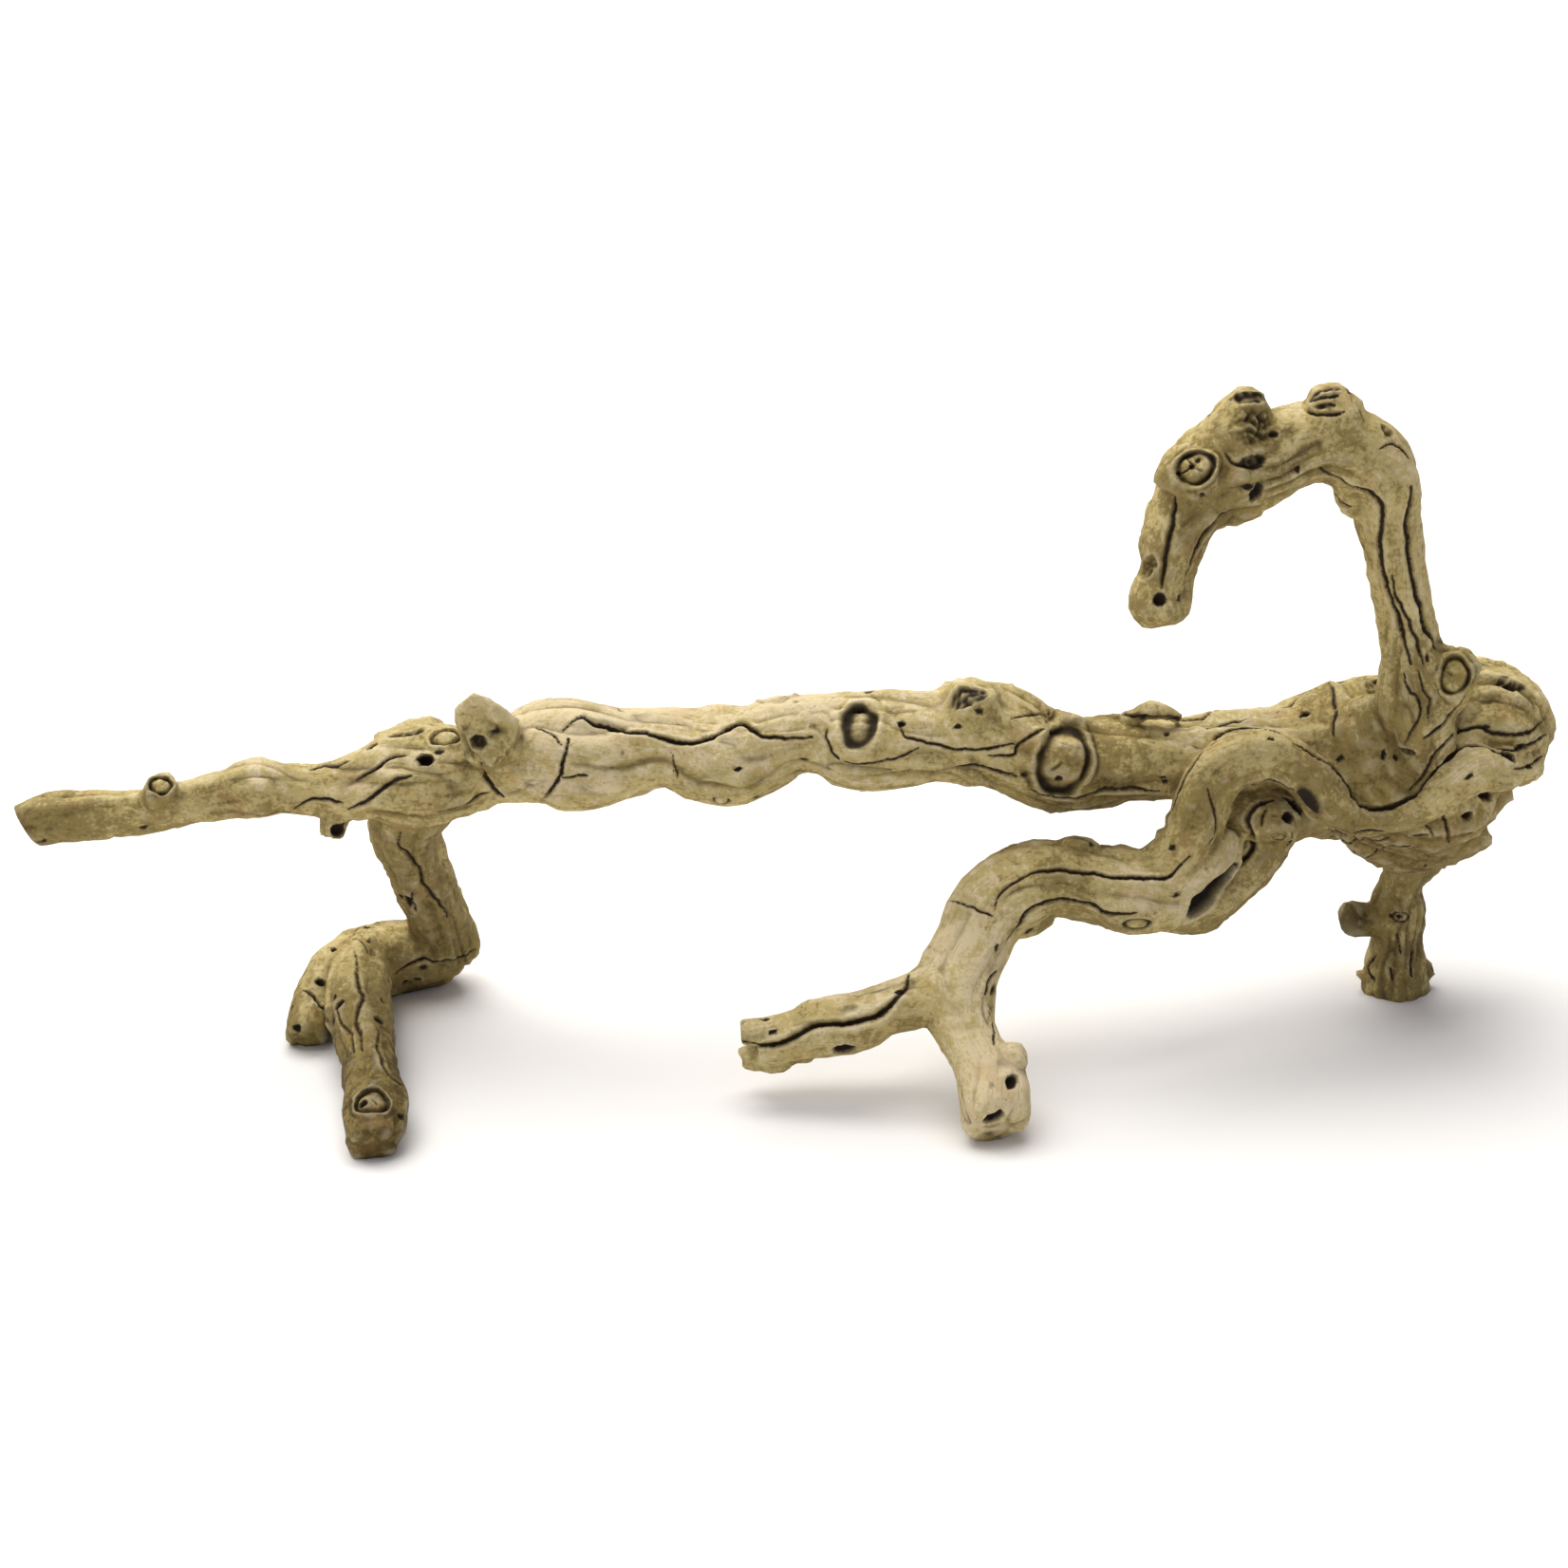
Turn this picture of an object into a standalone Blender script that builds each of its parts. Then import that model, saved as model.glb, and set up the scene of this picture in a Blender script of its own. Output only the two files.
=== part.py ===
"""A piece of weathered grapevine driftwood, standing on its branch ends. One natural solid.

The limbs are drawn on a tilted board that stands through the middle of the wood, as the eye in
front of it sees them. A station is (across, up, depth, radius) in millimetres: across and up on
the board, depth behind the board's foot, and the radius of the limb there.
"""

import math

import bmesh
import bpy
import numpy as np
from mathutils import Matrix, Vector, kdtree, noise
from mathutils.bvhtree import BVHTree

MM = 0.001

# Driving dimensions
EYE_DISTANCE = 1500 * MM  # from the eye to the middle of the board
EYE_ELEVATION = math.radians(24)
BOARD_CENTRE = Vector((-2.3 * MM, 10.6 * MM, 114 * MM))
CELL = 1.0 * MM  # grain size of the fused body before the carving
FINE_CELL = 0.72 * MM  # and after the carving
TRIANGLES = 11700
SAMPLE_STEP = 2.5 * MM  # along a limb
MARK_STEP = 0.8 * MM  # along a crack
FLUTE_LENGTH = 60 * MM  # the long hollows along the grain
FLUTE_WIDTH = 11 * MM
FLUTE_SHARE = 0.05  # their depth as a share of the limb's radius
LUMP_SIZE = 26 * MM
LUMP_HEIGHT = 0.9 * MM
TWIST = 7.0  # radians a metre that the grain winds round a limb
CRACK_SHARE = 1.45  # the cracks are a little wider and deeper than their dark lines
KEEP_MARKS = 0.02  # how much more a face near a crack or a knot is worth keeping

LOOK = Vector((0, math.cos(EYE_ELEVATION), -math.sin(EYE_ELEVATION)))
BOARD_UP = Vector((0, math.sin(EYE_ELEVATION), math.cos(EYE_ELEVATION)))
BOARD_ACROSS = Vector((1, 0, 0))
EYE = BOARD_CENTRE - LOOK * EYE_DISTANCE

# The limbs, from the thin tip on the left to the root end on the right.
LIMBS = {
    "thin_arm": [
        (-306, -13.6, -8, 11.4), (-298, -14, -8, 11.4), (-289, -13.5, -8, 10.6),
        (-274, -12, -8, 9.3), (-256, -10.5, -8, 8.8), (-237, -7, -7, 9.0), (-222, -4, -6, 10.0),
        (-209, -1, -5, 11.8), (-195, -2, -4, 10.4), (-180, -2.5, -3, 11.9), (-165, 0, -2, 15.2),
        (-150, 2.5, 0, 19.2), (-133, 5, 2, 18.0), (-116, 5, 3, 14.4),
    ],
    "trunk": [
        (-121, 5, 3, 13.5), (-108, 7.5, 3, 15.6), (-95, 12, 2, 21.4), (-82, 12, 1, 22.0),
        (-65, 12, 0, 19.2), (-48, 14.3, -1, 16.0), (-34, 11.5, -2, 18.2), (-21, 11, -3, 19.8),
        (-10, 14, -3, 18.0), (3, 19.5, -3, 15.8), (17, 20, -3, 16.4), (30, 17, -3, 19.6),
        (45, 18.5, -2, 18.6), (60, 19.5, -1, 17.2), (73, 20.5, 0, 20.2), (85, 18.5, 2, 19.6),
        (98, 12, 4, 18.0), (111, 8.4, 6, 18.8), (126, 8.4, 9, 16.4), (145, 9.2, 13, 15.6),
        (164, 10.2, 17, 17.2), (183, 11, 20, 18.8), (202, 11.8, 24, 21.4), (221, 14, 28, 27.2),
    ],
    "hub": [
        (213, 10, 30, 24.5), (228, 11.5, 32, 31.5), (243, 6, 34, 33.5), (257, 6, 36, 33.5),
        (271, 12, 38, 28.5), (284, 15, 40, 22.0),
    ],
    "cap": [
        (268, 21.4, 34, 27.2), (281, 23, 34, 26.2), (292.5, 17.4, 36, 20.4), (299, 15, 37, 14.6),
    ],
    "keel": [
        (233, -9, 34, 18.5), (241.5, -12, 36, 21.5), (251, -13, 38, 22.5), (262, -11.4, 40, 21.6),
        (274, -6.4, 40, 19.6),
    ],
    "neck": [
        (256, 5, 8, 7.6), (255, 19, 8, 12.9), (251.5, 33, 8, 15.0), (250, 47.5, 9, 13.2),
        (248.4, 63, 10, 12.0), (245.4, 78, 10, 11.9), (243.2, 91, 10, 12.0),
        (241, 104, 9, 12.6), (238.8, 117.6, 8, 14.9), (233, 128, 6, 16.4), (219, 136, 2, 16.6),
        (204, 134.5, 0, 17.3), (191, 129, -3, 18.8), (177.5, 126, -5, 20.6), (168, 119.5, -8, 19.0),
        (161.6, 110, -12, 14.6), (157.2, 102, -15, 13.2), (154.2, 94, -18, 12.7),
        (152.4, 85, -21, 11.0), (149.6, 75, -23, 12.2), (149, 69, -25, 12.2), (149, 63.5, -26, 8),
    ],
    "roll": [
        (150, -37, -10, 13.0), (158, -28, -9, 12.4), (163, -19, -8, 11.6), (166, -8, -5, 12.0),
        (171, 3, -3, 11.3), (181, 10, -1, 10.6),
        (194, 11, 0, 10.2), (206, 5, 0, 9.8), (215, -5, 0, 8.7), (226, -13, 2, 6.8),
        (240, -14, 2, 6.2), (253, -10, 0, 7.0), (264, -2, -1, 8.7), (275, 6, 2, 9.1),
        (286, 6, 10, 8.3), (297, 7, 22, 6.8),
    ],
    "middle_leg": [
        (171, -18, 2, 13.0), (166, -28, -4, 15.6), (151, -41.5, -10, 16.0),
        (136, -43, -14, 17.0), (122, -40, -16, 15.0), (106, -37.5, -18, 15.2),
        (92.4, -41.8, -20, 16.8), (81.6, -50.4, -24, 16.0), (75.5, -63.5, -30, 15.2),
        (70, -75, -38, 16.0), (68.5, -84.5, -45, 16.2), (70.5, -95, -54, 13.6),
        (75, -105.5, -64, 11.8), (80.5, -115, -72, 12.7), (83.6, -125, -80, 14.2),
        (84, -133.4, -87, 13.6), (84.6, -136.4, -90, 11.2),
    ],
    "under_arch": [
        (147, -44, -6, 14.0), (166, -45.5, 0, 13.0), (174, -39.6, 6, 12.8), (188, -25, 12, 12.6),
        (197, -14, 18, 12.4), (211, -7, 24, 12.9),
    ],
    "inner_knob": [(176, -10, 6, 8), (184, -12, 4, 9.5), (193, -13, 1, 10.5), (202, -14, 4, 9)],
    "split_tip": [
        (64, -82, -46, 14.4), (52, -86.6, -48, 11.6), (40, -90, -50, 10.6), (28, -95, -51, 12.8),
        (17, -96.6, -52, 12.3), (5, -100, -52, 10.2), (-6, -103, -52, 9.4), (-10, -103, -52, 8.6),
    ],
    "upper_prong": [(10, -96.4, -53, 6.4), (-6, -98, -54, 5.8), (-17, -98.8, -54, 5.0)],
    "lower_prong": [(10, -104.4, -51, 6.2), (-6, -107.4, -51, 5.6), (-17, -109.2, -50, 4.8)],
    "right_foot": [
        (252, -24, 42, 14.5), (246.8, -36, 45, 8.4), (244.5, -46, 47, 10.4), (243.8, -54, 48, 10.8),
        (244, -62, 48, 9.8), (243.4, -69, 47, 11.4), (243.4, -76, 46, 13.2), (243, -86, 45, 14),
    ],
    "right_bud": [(241, -55, 47, 6), (234, -54.4, 45, 6.6), (227.6, -53.4, 42, 7.2), (223.6, -52.8, 40, 7.0)],
    "left_shank": [
        (-146, -2, 8, 17.5), (-150.5, -17, 14, 14.8), (-147.5, -28, 22, 12.6), (-143.8, -37, 29, 12.0),
        (-141.4, -44, 35, 12.3), (-138.2, -52, 41, 12.4), (-134.6, -60, 46, 12.5), (-132, -66, 50, 12.2),
    ],
    "heel": [
        (-131, -64, 50, 10.8), (-140, -67, 49, 13.0), (-153, -68, 46, 14.4), (-165, -70, 40, 14.4),
        (-175.5, -73.5, 31, 12.6), (-182.5, -80.5, 20, 10.8), (-187, -88.5, 8, 9.2), (-190, -96, -4, 8.2),
        (-191, -101.4, -10, 8.0),
    ],
    "front_toe": [
        (-164.5, -66, 38, 9.1), (-167.5, -70, 28, 10.6), (-169, -81, 8, 12.4),
        (-168.5, -92, -14, 12.8), (-166.5, -104, -36, 12.0), (-164.5, -117, -62, 11.4),
        (-163, -128, -81, 12.2), (-163.5, -134.5, -91, 12.4), (-164, -139.5, -97, 11.6),
        (-164, -143.5, -102, 9.2),
    ],
    "back_strand": [
        (104, 14, 12, 9.0), (130, 18, 22, 9.6), (158, 14, 32, 9.2), (184, 5, 40, 9.8),
        (208, 3, 50, 11.4), (232, 12, 62, 12.6), (254, 22, 66, 12.0), (272, 20, 60, 11.0),
    ],
    "low_strand": [
        (196, -10, 38, 9.0), (214, -12, 50, 10.4), (234, -10, 61, 11.6), (254, -4, 66, 12.4),
        (274, 2, 60, 12.0), (288, 8, 50, 10.0),
    ],
    "root_ridge": [(240, -24, 50, 10.5), (256, -22, 56, 11.0), (272, -12, 54, 10.5)],
    "sawn_stub": [(-110, 9, 4, 12.5), (-114, 15, -6, 12.5), (-118, 20, -16, 12)],
    "hip_hump": [(-161, 9, 6, 11.0), (-150, 11, 10, 12.9), (-136, 16, 8, 12.2)],
    "arm_bud": [(-248.6, -7, -8, 8.5), (-248.4, -3.5, -13, 7.2), (-248.2, -0.4, -17, 6.4)],
    "hanging_bud": [(-178, -12, -6, 5.7), (-180, -18, -8, 5.2), (-181, -21, -9, 4.2)],
    "top_hump": [(74, 24, -4, 15.0), (75.5, 33, -6, 11.8), (77, 38.8, -6, 9.2)],
    "lower_hump": [(-23, 2, -6, 12.9), (-24, -6, -8, 7.6)],
    "flake": [(134, 23, 12, 2.8), (146, 28.5, 12, 5.6), (158, 24, 12, 2.8)],
    "eye_knot": [(166, 120, -12, 11.3), (163, 124, -25, 10.0)],
    "crown_knot": [
        (177, 134, -6, 15.5), (181, 143, -6, 13.4), (184.5, 151, -6, 9.2), (185.5, 157, -6, 5.8),
    ],
    "bend_knot": [
        (219, 141, 0, 14.2), (218, 149, 0, 11.8), (216.8, 154, 0, 8.8), (216.4, 158, 0, 6.6),
    ],
    "neck_root_knot": [(258, 36, 12, 13.5), (265, 44.5, 6, 11.5), (266, 46, 2, 10)],
    "foot_corner": [(85, -112, -72, 8), (94.5, -107, -74, 4.8)],

    "brow": [(164, 130, -14, 9), (156.5, 123, -18, 8.6), (152.6, 117, -20, 6.8)],
    "jaw_flake": [(175, 110, -12, 4.4), (180, 106.8, -13, 3.4), (189, 110, -11, 3.0)],
    "neck_flake": [(226.5, 118, 5, 8), (226.4, 112.6, 5, 5.4), (229, 107.6, 6, 3.6)],
    "hub_face": [(225, 31, 21, 13), (229, 21, 17, 15.5), (234, 10, 15, 16), (238, -1, 14, 13.5)],
    "upper_strand": [
        (250, -4, 9, 4.2), (257.5, 7, 9, 4.8), (267.5, 15, 10, 5.0), (278, 18.5, 12, 5.0),
        (289, 16.5, 17, 5.0), (299, 17.6, 24, 4.6),
    ],
    "knee_flake": [(108, -25, -16, 2.4), (115, -23.6, -16, 3.2), (125, -25.6, -16, 2.4)],
    "knee_lump": [(91, -56, -25, 6), (98, -56.4, -23, 5), (106, -52.5, -20, 4.2)],
    "tip_lump": [(-11, -109, -52, 5), (-4, -110.6, -52, 5.2), (4, -107.6, -52, 4)],
    "gill_nub": [(276, -4, 30, 6), (281, -5, 27, 5), (284, -9, 26, 3.2)],
    "left_splinter": [(237, -77, 46, 5), (231, -76, 44, 3.2), (227.6, -75.4, 43, 1.6)],
    "right_splinter": [(250, -71, 47, 5), (255, -72.6, 48, 3.4), (259, -76.4, 48, 1.5)],
}

# Blunt many-sided ends: (depth of the front face, depth of the back, size of the back as a share
# of the front, [(across, up) of each corner of the front, ...]).
BLUNT_ENDS = {
    "sawn_stub": (-31, -4, 0.92, [
        (-132, 30.6), (-124, 37.2), (-114.5, 32), (-105.2, 25.4), (-105.8, 20.4), (-112, 8.6),
        (-117, 6.4), (-124.6, 14.6), (-130.6, 23.4),
    ]),
}

# Ends that were sawn or broken flat: (limb, 0 for its first end or -1 for its last, how much is
# cut off in mm, and how far the cut leans, in degrees across the eye's view).
SAWN_ENDS = [
    ("right_bud", -1, 1.5, -10), ("thin_arm", 0, 5.0, -24),
]

# Cracks seen from the eye: (depth, half width, [(across, up) on the board, ...]) in mm.
CRACKS = [
    (3.2, 1.5, [(-88, 21.6), (-81.5, 25.4), (-75, 23.6), (-64.4, 20.9), (-55, 20.1),
                (-47.9, 17.7), (-39.6, 16), (-32.5, 16.9), (-24.2, 20.9), (-18.3, 23.5),
                (-12.4, 21.9), (-6.5, 18.6), (2.9, 18.3), (11.2, 18.6)]),
    (3.0, 1.4, [(-85.9, 17.7), (-86.8, 12.4), (-88.3, 6.5), (-89.4, 2.4), (-92.2, -1.7),
                (-95.7, -5.3)]),
    (2.2, 1.1, [(-88.3, 1.8), (-83.3, 3.2), (-78, 3.6)]),
    (1.2, 1.0, [(-98.7, 23.1), (-93.3, 19.8), (-88, 16)]),
    (1.4, 1.0, [(-79.8, 34.3), (-70.3, 31.9), (-63.2, 29)]),
    (0.9, 0.9, [(-44.3, 11.8), (-43.4, 7.1), (-42.2, 3)]),
    (2.8, 1.5, [(-120.9, 8.3), (-118.5, 3), (-115, -1.7), (-111.7, -5.3)]),
    (2.0, 1.2, [(-137.6, -10), (-128.2, -8.2), (-121.1, -4.7), (-117, -3.2)]),
    (2.0, 1.2, [(-194.8, -10.1), (-189.6, -6.9), (-183.1, -5.8), (-175.2, -6.9)]),
    (2.6, 1.5, [(-173.3, -9.5), (-164.8, -5.6), (-157.6, -0.3), (-153.1, 2.3), (-147.9, 3.6)]),
    (2.2, 1.3, [(-170, 2.3), (-163.5, 5.5), (-157, 10.1), (-150.5, 11.7)]),
    (1.2, 1.0, [(-188.3, 5.9), (-180.4, 6.4), (-172.6, 8.8)]),
    (2.4, 1.3, [(-152.4, -18.6), (-152.8, -23.8), (-149.2, -27.7), (-145.3, -34.2),
                (-143.3, -39.4), (-140, -43.4), (-137.4, -47.3), (-134.2, -52.5)]),
    (2.0, 1.2, [(-147.9, -42), (-146.6, -49.9)]),
    (2.2, 1.2, [(-154.4, -75.9), (-149.2, -71.4), (-142.6, -69.2), (-134.8, -70.1),
                (-128.3, -69.2), (-123.1, -66.2)]),
    (2.6, 1.4, [(-170.7, -66.8), (-170.3, -73.3), (-169, -81.2), (-167.7, -85.1), (-169.4, -90.3),
                (-170.7, -95.5), (-168.7, -100.7), (-168.5, -105.9)]),
    (1.8, 1.2, [(-176.5, -90.3), (-175.9, -95.5), (-172.6, -99.4), (-171.3, -107.2)]),
    (2.6, 1.3, [(-161.2, -97.4), (-161.5, -104.6), (-159.6, -112.4), (-155.7, -117.6),
                (-151.1, -122.9)]),
    (1.6, 1.1, [(-172, -61.6), (-168.1, -62.9), (-165.5, -66.8)]),
    (2.4, 1.3, [(-191.5, -82.5), (-187, -85.1), (-183.1, -90.3), (-181.1, -95.5)]),
    (1.6, 1.0, [(-171.3, -59.6), (-166.1, -55.7), (-158.3, -54.4)]),
    (1.8, 1.2, [(45.7, 24.3), (47.7, 19.3), (52.6, 17.8), (60.6, 15.8), (68.6, 13.8),
                (77.5, 13.3), (86.5, 14.8), (92.4, 15.8)]),
    (2.2, 1.3, [(81.5, 11.3), (88.5, 10.8), (92.4, 11.8), (93.9, 15.3), (97.4, 18.8),
                (102.4, 21.6)]),
    (2.2, 1.3, [(68.6, 7), (76.5, 6.6), (83.5, 5.8), (88.5, 4.4), (92.4, 2.4)]),
    (1.2, 1.0, [(23.8, 9.3), (30.8, 7.8), (38.7, 8.8), (47.7, 11.8), (53.6, 14.8)]),
    (1.8, 1.1, [(17.3, 21.8), (17, 17.8), (18.8, 12.8), (21.8, 9.8)]),
    (2.0, 1.2, [(98.4, -2.1), (105.4, -5.3), (113.3, -5.8), (120.3, -4.8), (127.2, -2.3),
                (137.2, -1.8), (145.2, -2.1), (150.1, -2.3)]),
    (1.4, 1.0, [(90.4, 26.2), (97.4, 26.9), (105.4, 27.2), (113.3, 26.9)]),
    (2.2, 1.2, [(131.2, 26.5), (141.2, 27.2), (152.1, 26.2), (160.1, 25.2)]),
    (2.0, 1.2, [(148.9, 27.6), (155.4, 26.6), (165.1, 25.5), (170.5, 27.6), (179.2, 31.1),
                (188.9, 30.3), (197.5, 30.3), (202.9, 31.8), (207.3, 34.1)]),
    (1.6, 1.1, [(168.4, 21.2), (173.8, 23.3), (180.3, 25.3), (186.7, 26.6)]),
    (1.8, 1.3, [(155.4, -10.2), (158.7, -1.5), (161.9, 5), (167.3, 13.6), (173.8, 18.5),
                (181.3, 21.2), (190, 21.7), (197.5, 20.1)]),
    (3.2, 1.6, [(202.9, 15.6), (209.4, 12.5), (214.8, 8.7), (219.1, 3.9), (223.5, -1),
                (226.7, -5.8), (231, -9.6), (237.5, -9.6), (244, -8.2), (250.5, -4.8),
                (255.9, 0.6), (261.3, 7.1), (267.7, 12.5), (275.3, 15.2), (281.8, 13.6),
                (286.1, 11.4)]),
    (2.2, 1.4, [(249.4, -2.1), (254.8, 3.9), (259.1, 11.4), (263.4, 16.8), (269.9, 21.2),
                (277.5, 22.5), (283.9, 20.3), (291.5, 19.9), (299.1, 22.2), (304.5, 26.6)]),
    (2.0, 1.4, [(283.9, 13.6), (290.4, 13.6), (296.9, 16.3), (303.9, 19.9)]),
    (1.8, 1.2, [(290.4, 6), (295.8, 7.1), (302.3, 11.4)]),
    (2.6, 1.4, [(271.5, 35.2), (266.7, 29.3), (261.3, 23.3), (254.8, 17.9)]),
    (1.8, 1.1, [(246.7, 43.8), (249.4, 37.4), (253.7, 32), (252.6, 25.5), (249.4, 20.1),
                (247.2, 15.8)]),
    (1.4, 1.0, [(252.6, 46), (254.2, 39.5), (256.9, 33), (256.9, 26.6)]),
    (1.4, 1.4, [(217.5, 40.6), (219.1, 34.1), (219.7, 26.6), (218.6, 19)]),
    (2.6, 1.4, [(186.2, -0.6), (189.4, 1.2), (193.2, 2.1), (197.5, 0.6), (202.4, -2.6)]),
    (1.0, 1.1, [(168.9, -1.5), (169.5, -5.8), (171.6, -12.3), (172.7, -18.8), (169.5, -24.2)]),
    (3.2, 1.8, [(194.8, -6.4), (190, -7.5), (186.2, -10.7), (184.6, -15.6), (186.7, -21),
                (186.2, -26.4), (182.4, -30.7), (178.1, -34.5), (174.9, -36.6)]),
    (2.0, 1.3, [(192.1, -10.2), (190.5, -13.4), (190, -16.6)]),
    (1.4, 1.0, [(201.9, -18.8), (202.4, -22), (199.7, -24.7)]),
    (1.8, 1.2, [(218.1, -18.3), (224.5, -19.3), (231, -18.8), (238.6, -18.6)]),
    (1.8, 1.1, [(222.4, -20.7), (227.8, -22), (234.3, -21.8), (240.7, -21.5)]),
    (2.2, 1.3, [(232.6, -27.4), (236.4, -25.8), (241.8, -24.4), (249.4, -24.2)]),
    (3.0, 1.4, [(262.1, -12.3), (263.6, -15.6), (264.3, -18.8), (265.4, -23.7)]),
    (1.6, 1.1, [(255.3, -16.6), (258, -18.8), (259.1, -22)]),
    (3.0, 1.6, [(213.2, 125.6), (219.8, 122.3), (224.5, 119.6), (228.3, 117.6), (233, 116.4),
                (236.8, 113.3), (238.2, 109.1), (237.8, 102.4), (237.8, 94.9), (238.7, 87.3),
                (239.7, 79.8), (241.1, 74.1), (243, 69.4), (245.8, 61.8), (247.7, 54.2),
                (249.6, 47.6)]),
    (3.2, 1.9, [(248.2, 118.5), (248.6, 111.9), (247.7, 104.3), (248.2, 96.8), (248.9, 89.2),
                (250.5, 81.6), (252.9, 72.2), (254.8, 64.6), (257.1, 58), (260, 53.8)]),
    (2.0, 1.2, [(217.4, 117.6), (221.7, 113.8), (225.5, 110.5)]),
    (2.0, 1.3, [(242.5, 83.5), (243.4, 76), (246.3, 69.4), (250, 61.8), (252.9, 53.3),
                (254.8, 47.6)]),
    (2.8, 1.5, [(156, 115.7), (155.4, 109.1), (154.8, 102.4), (153.2, 95.8), (151.6, 89.2),
                (150.8, 82.6), (150.3, 77.9)]),
    (2.4, 1.4, [(179.2, 108.9), (174.4, 107.9), (170.7, 104.3), (167.1, 99.6), (164.2, 93.9),
                (162.2, 88.3), (160.7, 83.1)]),
    (2.0, 1.3, [(175.4, 131.7), (179.2, 128), (184.8, 125.9), (190.5, 126.8)]),
    (2.0, 1.3, [(208.5, 147.3), (213.2, 146.7), (218.9, 146.9), (222.6, 147.8)]),
    (1.8, 1.2, [(211.3, 152.5), (215.1, 153.7), (220.8, 154.6)]),
    (1.6, 1.1, [(236.8, 133.6), (240.6, 134.8), (245.3, 132.2), (248.2, 129.7)]),
    (1.6, 0.8, [(160.5, 129.7), (162.6, 126.3)]),
    (1.4, 0.8, [(157.6, 123.2), (162.4, 125.9)]),
    (2.6, 1.4, [(93.7, -37.7), (99.5, -35.5), (106.8, -34.4), (115.5, -35.2), (124.2, -35.8),
                (131.5, -37.7), (138.8, -37.7), (147.5, -38.4), (153.3, -37), (157.7, -32.6),
                (162, -28.3)]),
    (2.4, 1.4, [(89.3, -62), (93.7, -55.9), (98, -50.1), (105.3, -47.2), (114, -46.4),
                (121.3, -47.9), (128.6, -50.8), (135.8, -51.5), (140.2, -50.8)]),
    (1.4, 1.0, [(83.5, -50.8), (85.7, -44.3), (90.8, -39.9), (95.1, -37.7)]),
    (1.2, 1.0, [(67.8, -47.2), (73.3, -48.6), (79.1, -50.8), (83.5, -52.7)]),
    (4.4, 1.9, [(-16.5, -102.1), (-12.4, -103.1), (-8.1, -104.6), (-0.8, -103.1), (6.5, -99.5),
                (13.7, -95.9), (22.4, -95.9), (29.7, -94.4), (37, -92.2), (42.8, -87.9),
                (47.9, -82.1), (49.3, -77)]),
    (3.0, 1.6, [(85, -74.8), (81.3, -79.1), (79.9, -83.5)]),
    (1.6, 1.1, [(80.6, -87.9), (82.8, -95.1), (83.5, -103.9)]),
    (1.8, 1.1, [(244.2, -59.7), (244.9, -63.5), (245.7, -67.3)]),
    (2.4, 1.3, [(250.6, -66.5), (249.5, -71.8), (250.6, -76.4)]),
    (2.2, 1.3, [(241.2, -73.3), (241.9, -78.6)]),
    (2.0, 1.2, [(235.1, -68.8), (232.8, -73.3), (234.4, -78.6)]),
]

# Cracks on the sides that the eye can't see: (limb, from, to, angle at each end, depth, half
# width). From and to are shares of the limb's length. 90 degrees is its upper side, 180 its back.
LIMB_CRACKS = [
    ("trunk", 0.08, 0.42, 150, 176, 2.8, 1.6),
    ("trunk", 0.30, 0.62, 205, 188, 3.0, 1.7),
    ("trunk", 0.55, 0.93, 158, 182, 2.8, 1.6),
    ("trunk", 0.12, 0.50, 262, 248, 2.4, 1.5),
    ("trunk", 0.52, 0.80, 268, 252, 2.2, 1.4),
    ("trunk", 0.18, 0.36, 112, 104, 2.0, 1.4),
    ("thin_arm", 0.10, 0.52, 175, 196, 1.8, 1.2),
    ("thin_arm", 0.45, 0.88, 222, 205, 2.4, 1.4),
    ("neck", 0.12, 0.46, 168, 184, 2.8, 1.6),
    ("neck", 0.34, 0.66, 208, 196, 2.6, 1.5),
    ("neck", 0.62, 0.95, 172, 186, 2.2, 1.4),
    ("middle_leg", 0.16, 0.52, 176, 196, 2.6, 1.5),
    ("middle_leg", 0.50, 0.86, 214, 190, 2.4, 1.4),
    ("middle_leg", 0.20, 0.46, 262, 274, 2.2, 1.4),
    ("split_tip", 0.20, 0.98, 205, 184, 2.8, 1.5),
    ("left_shank", 0.20, 0.90, 172, 196, 2.2, 1.3),
    ("front_toe", 0.22, 0.80, 172, 188, 2.0, 1.3),
    ("heel", 0.15, 0.80, 170, 196, 2.0, 1.3),
    ("right_foot", 0.30, 0.90, 176, 190, 2.2, 1.3),
    ("hub", 0.15, 0.85, 152, 166, 3.0, 1.8),
    ("hub", 0.20, 0.90, 192, 184, 3.0, 1.8),
    ("cap", 0.10, 0.90, 205, 222, 2.6, 1.6),
]

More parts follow.
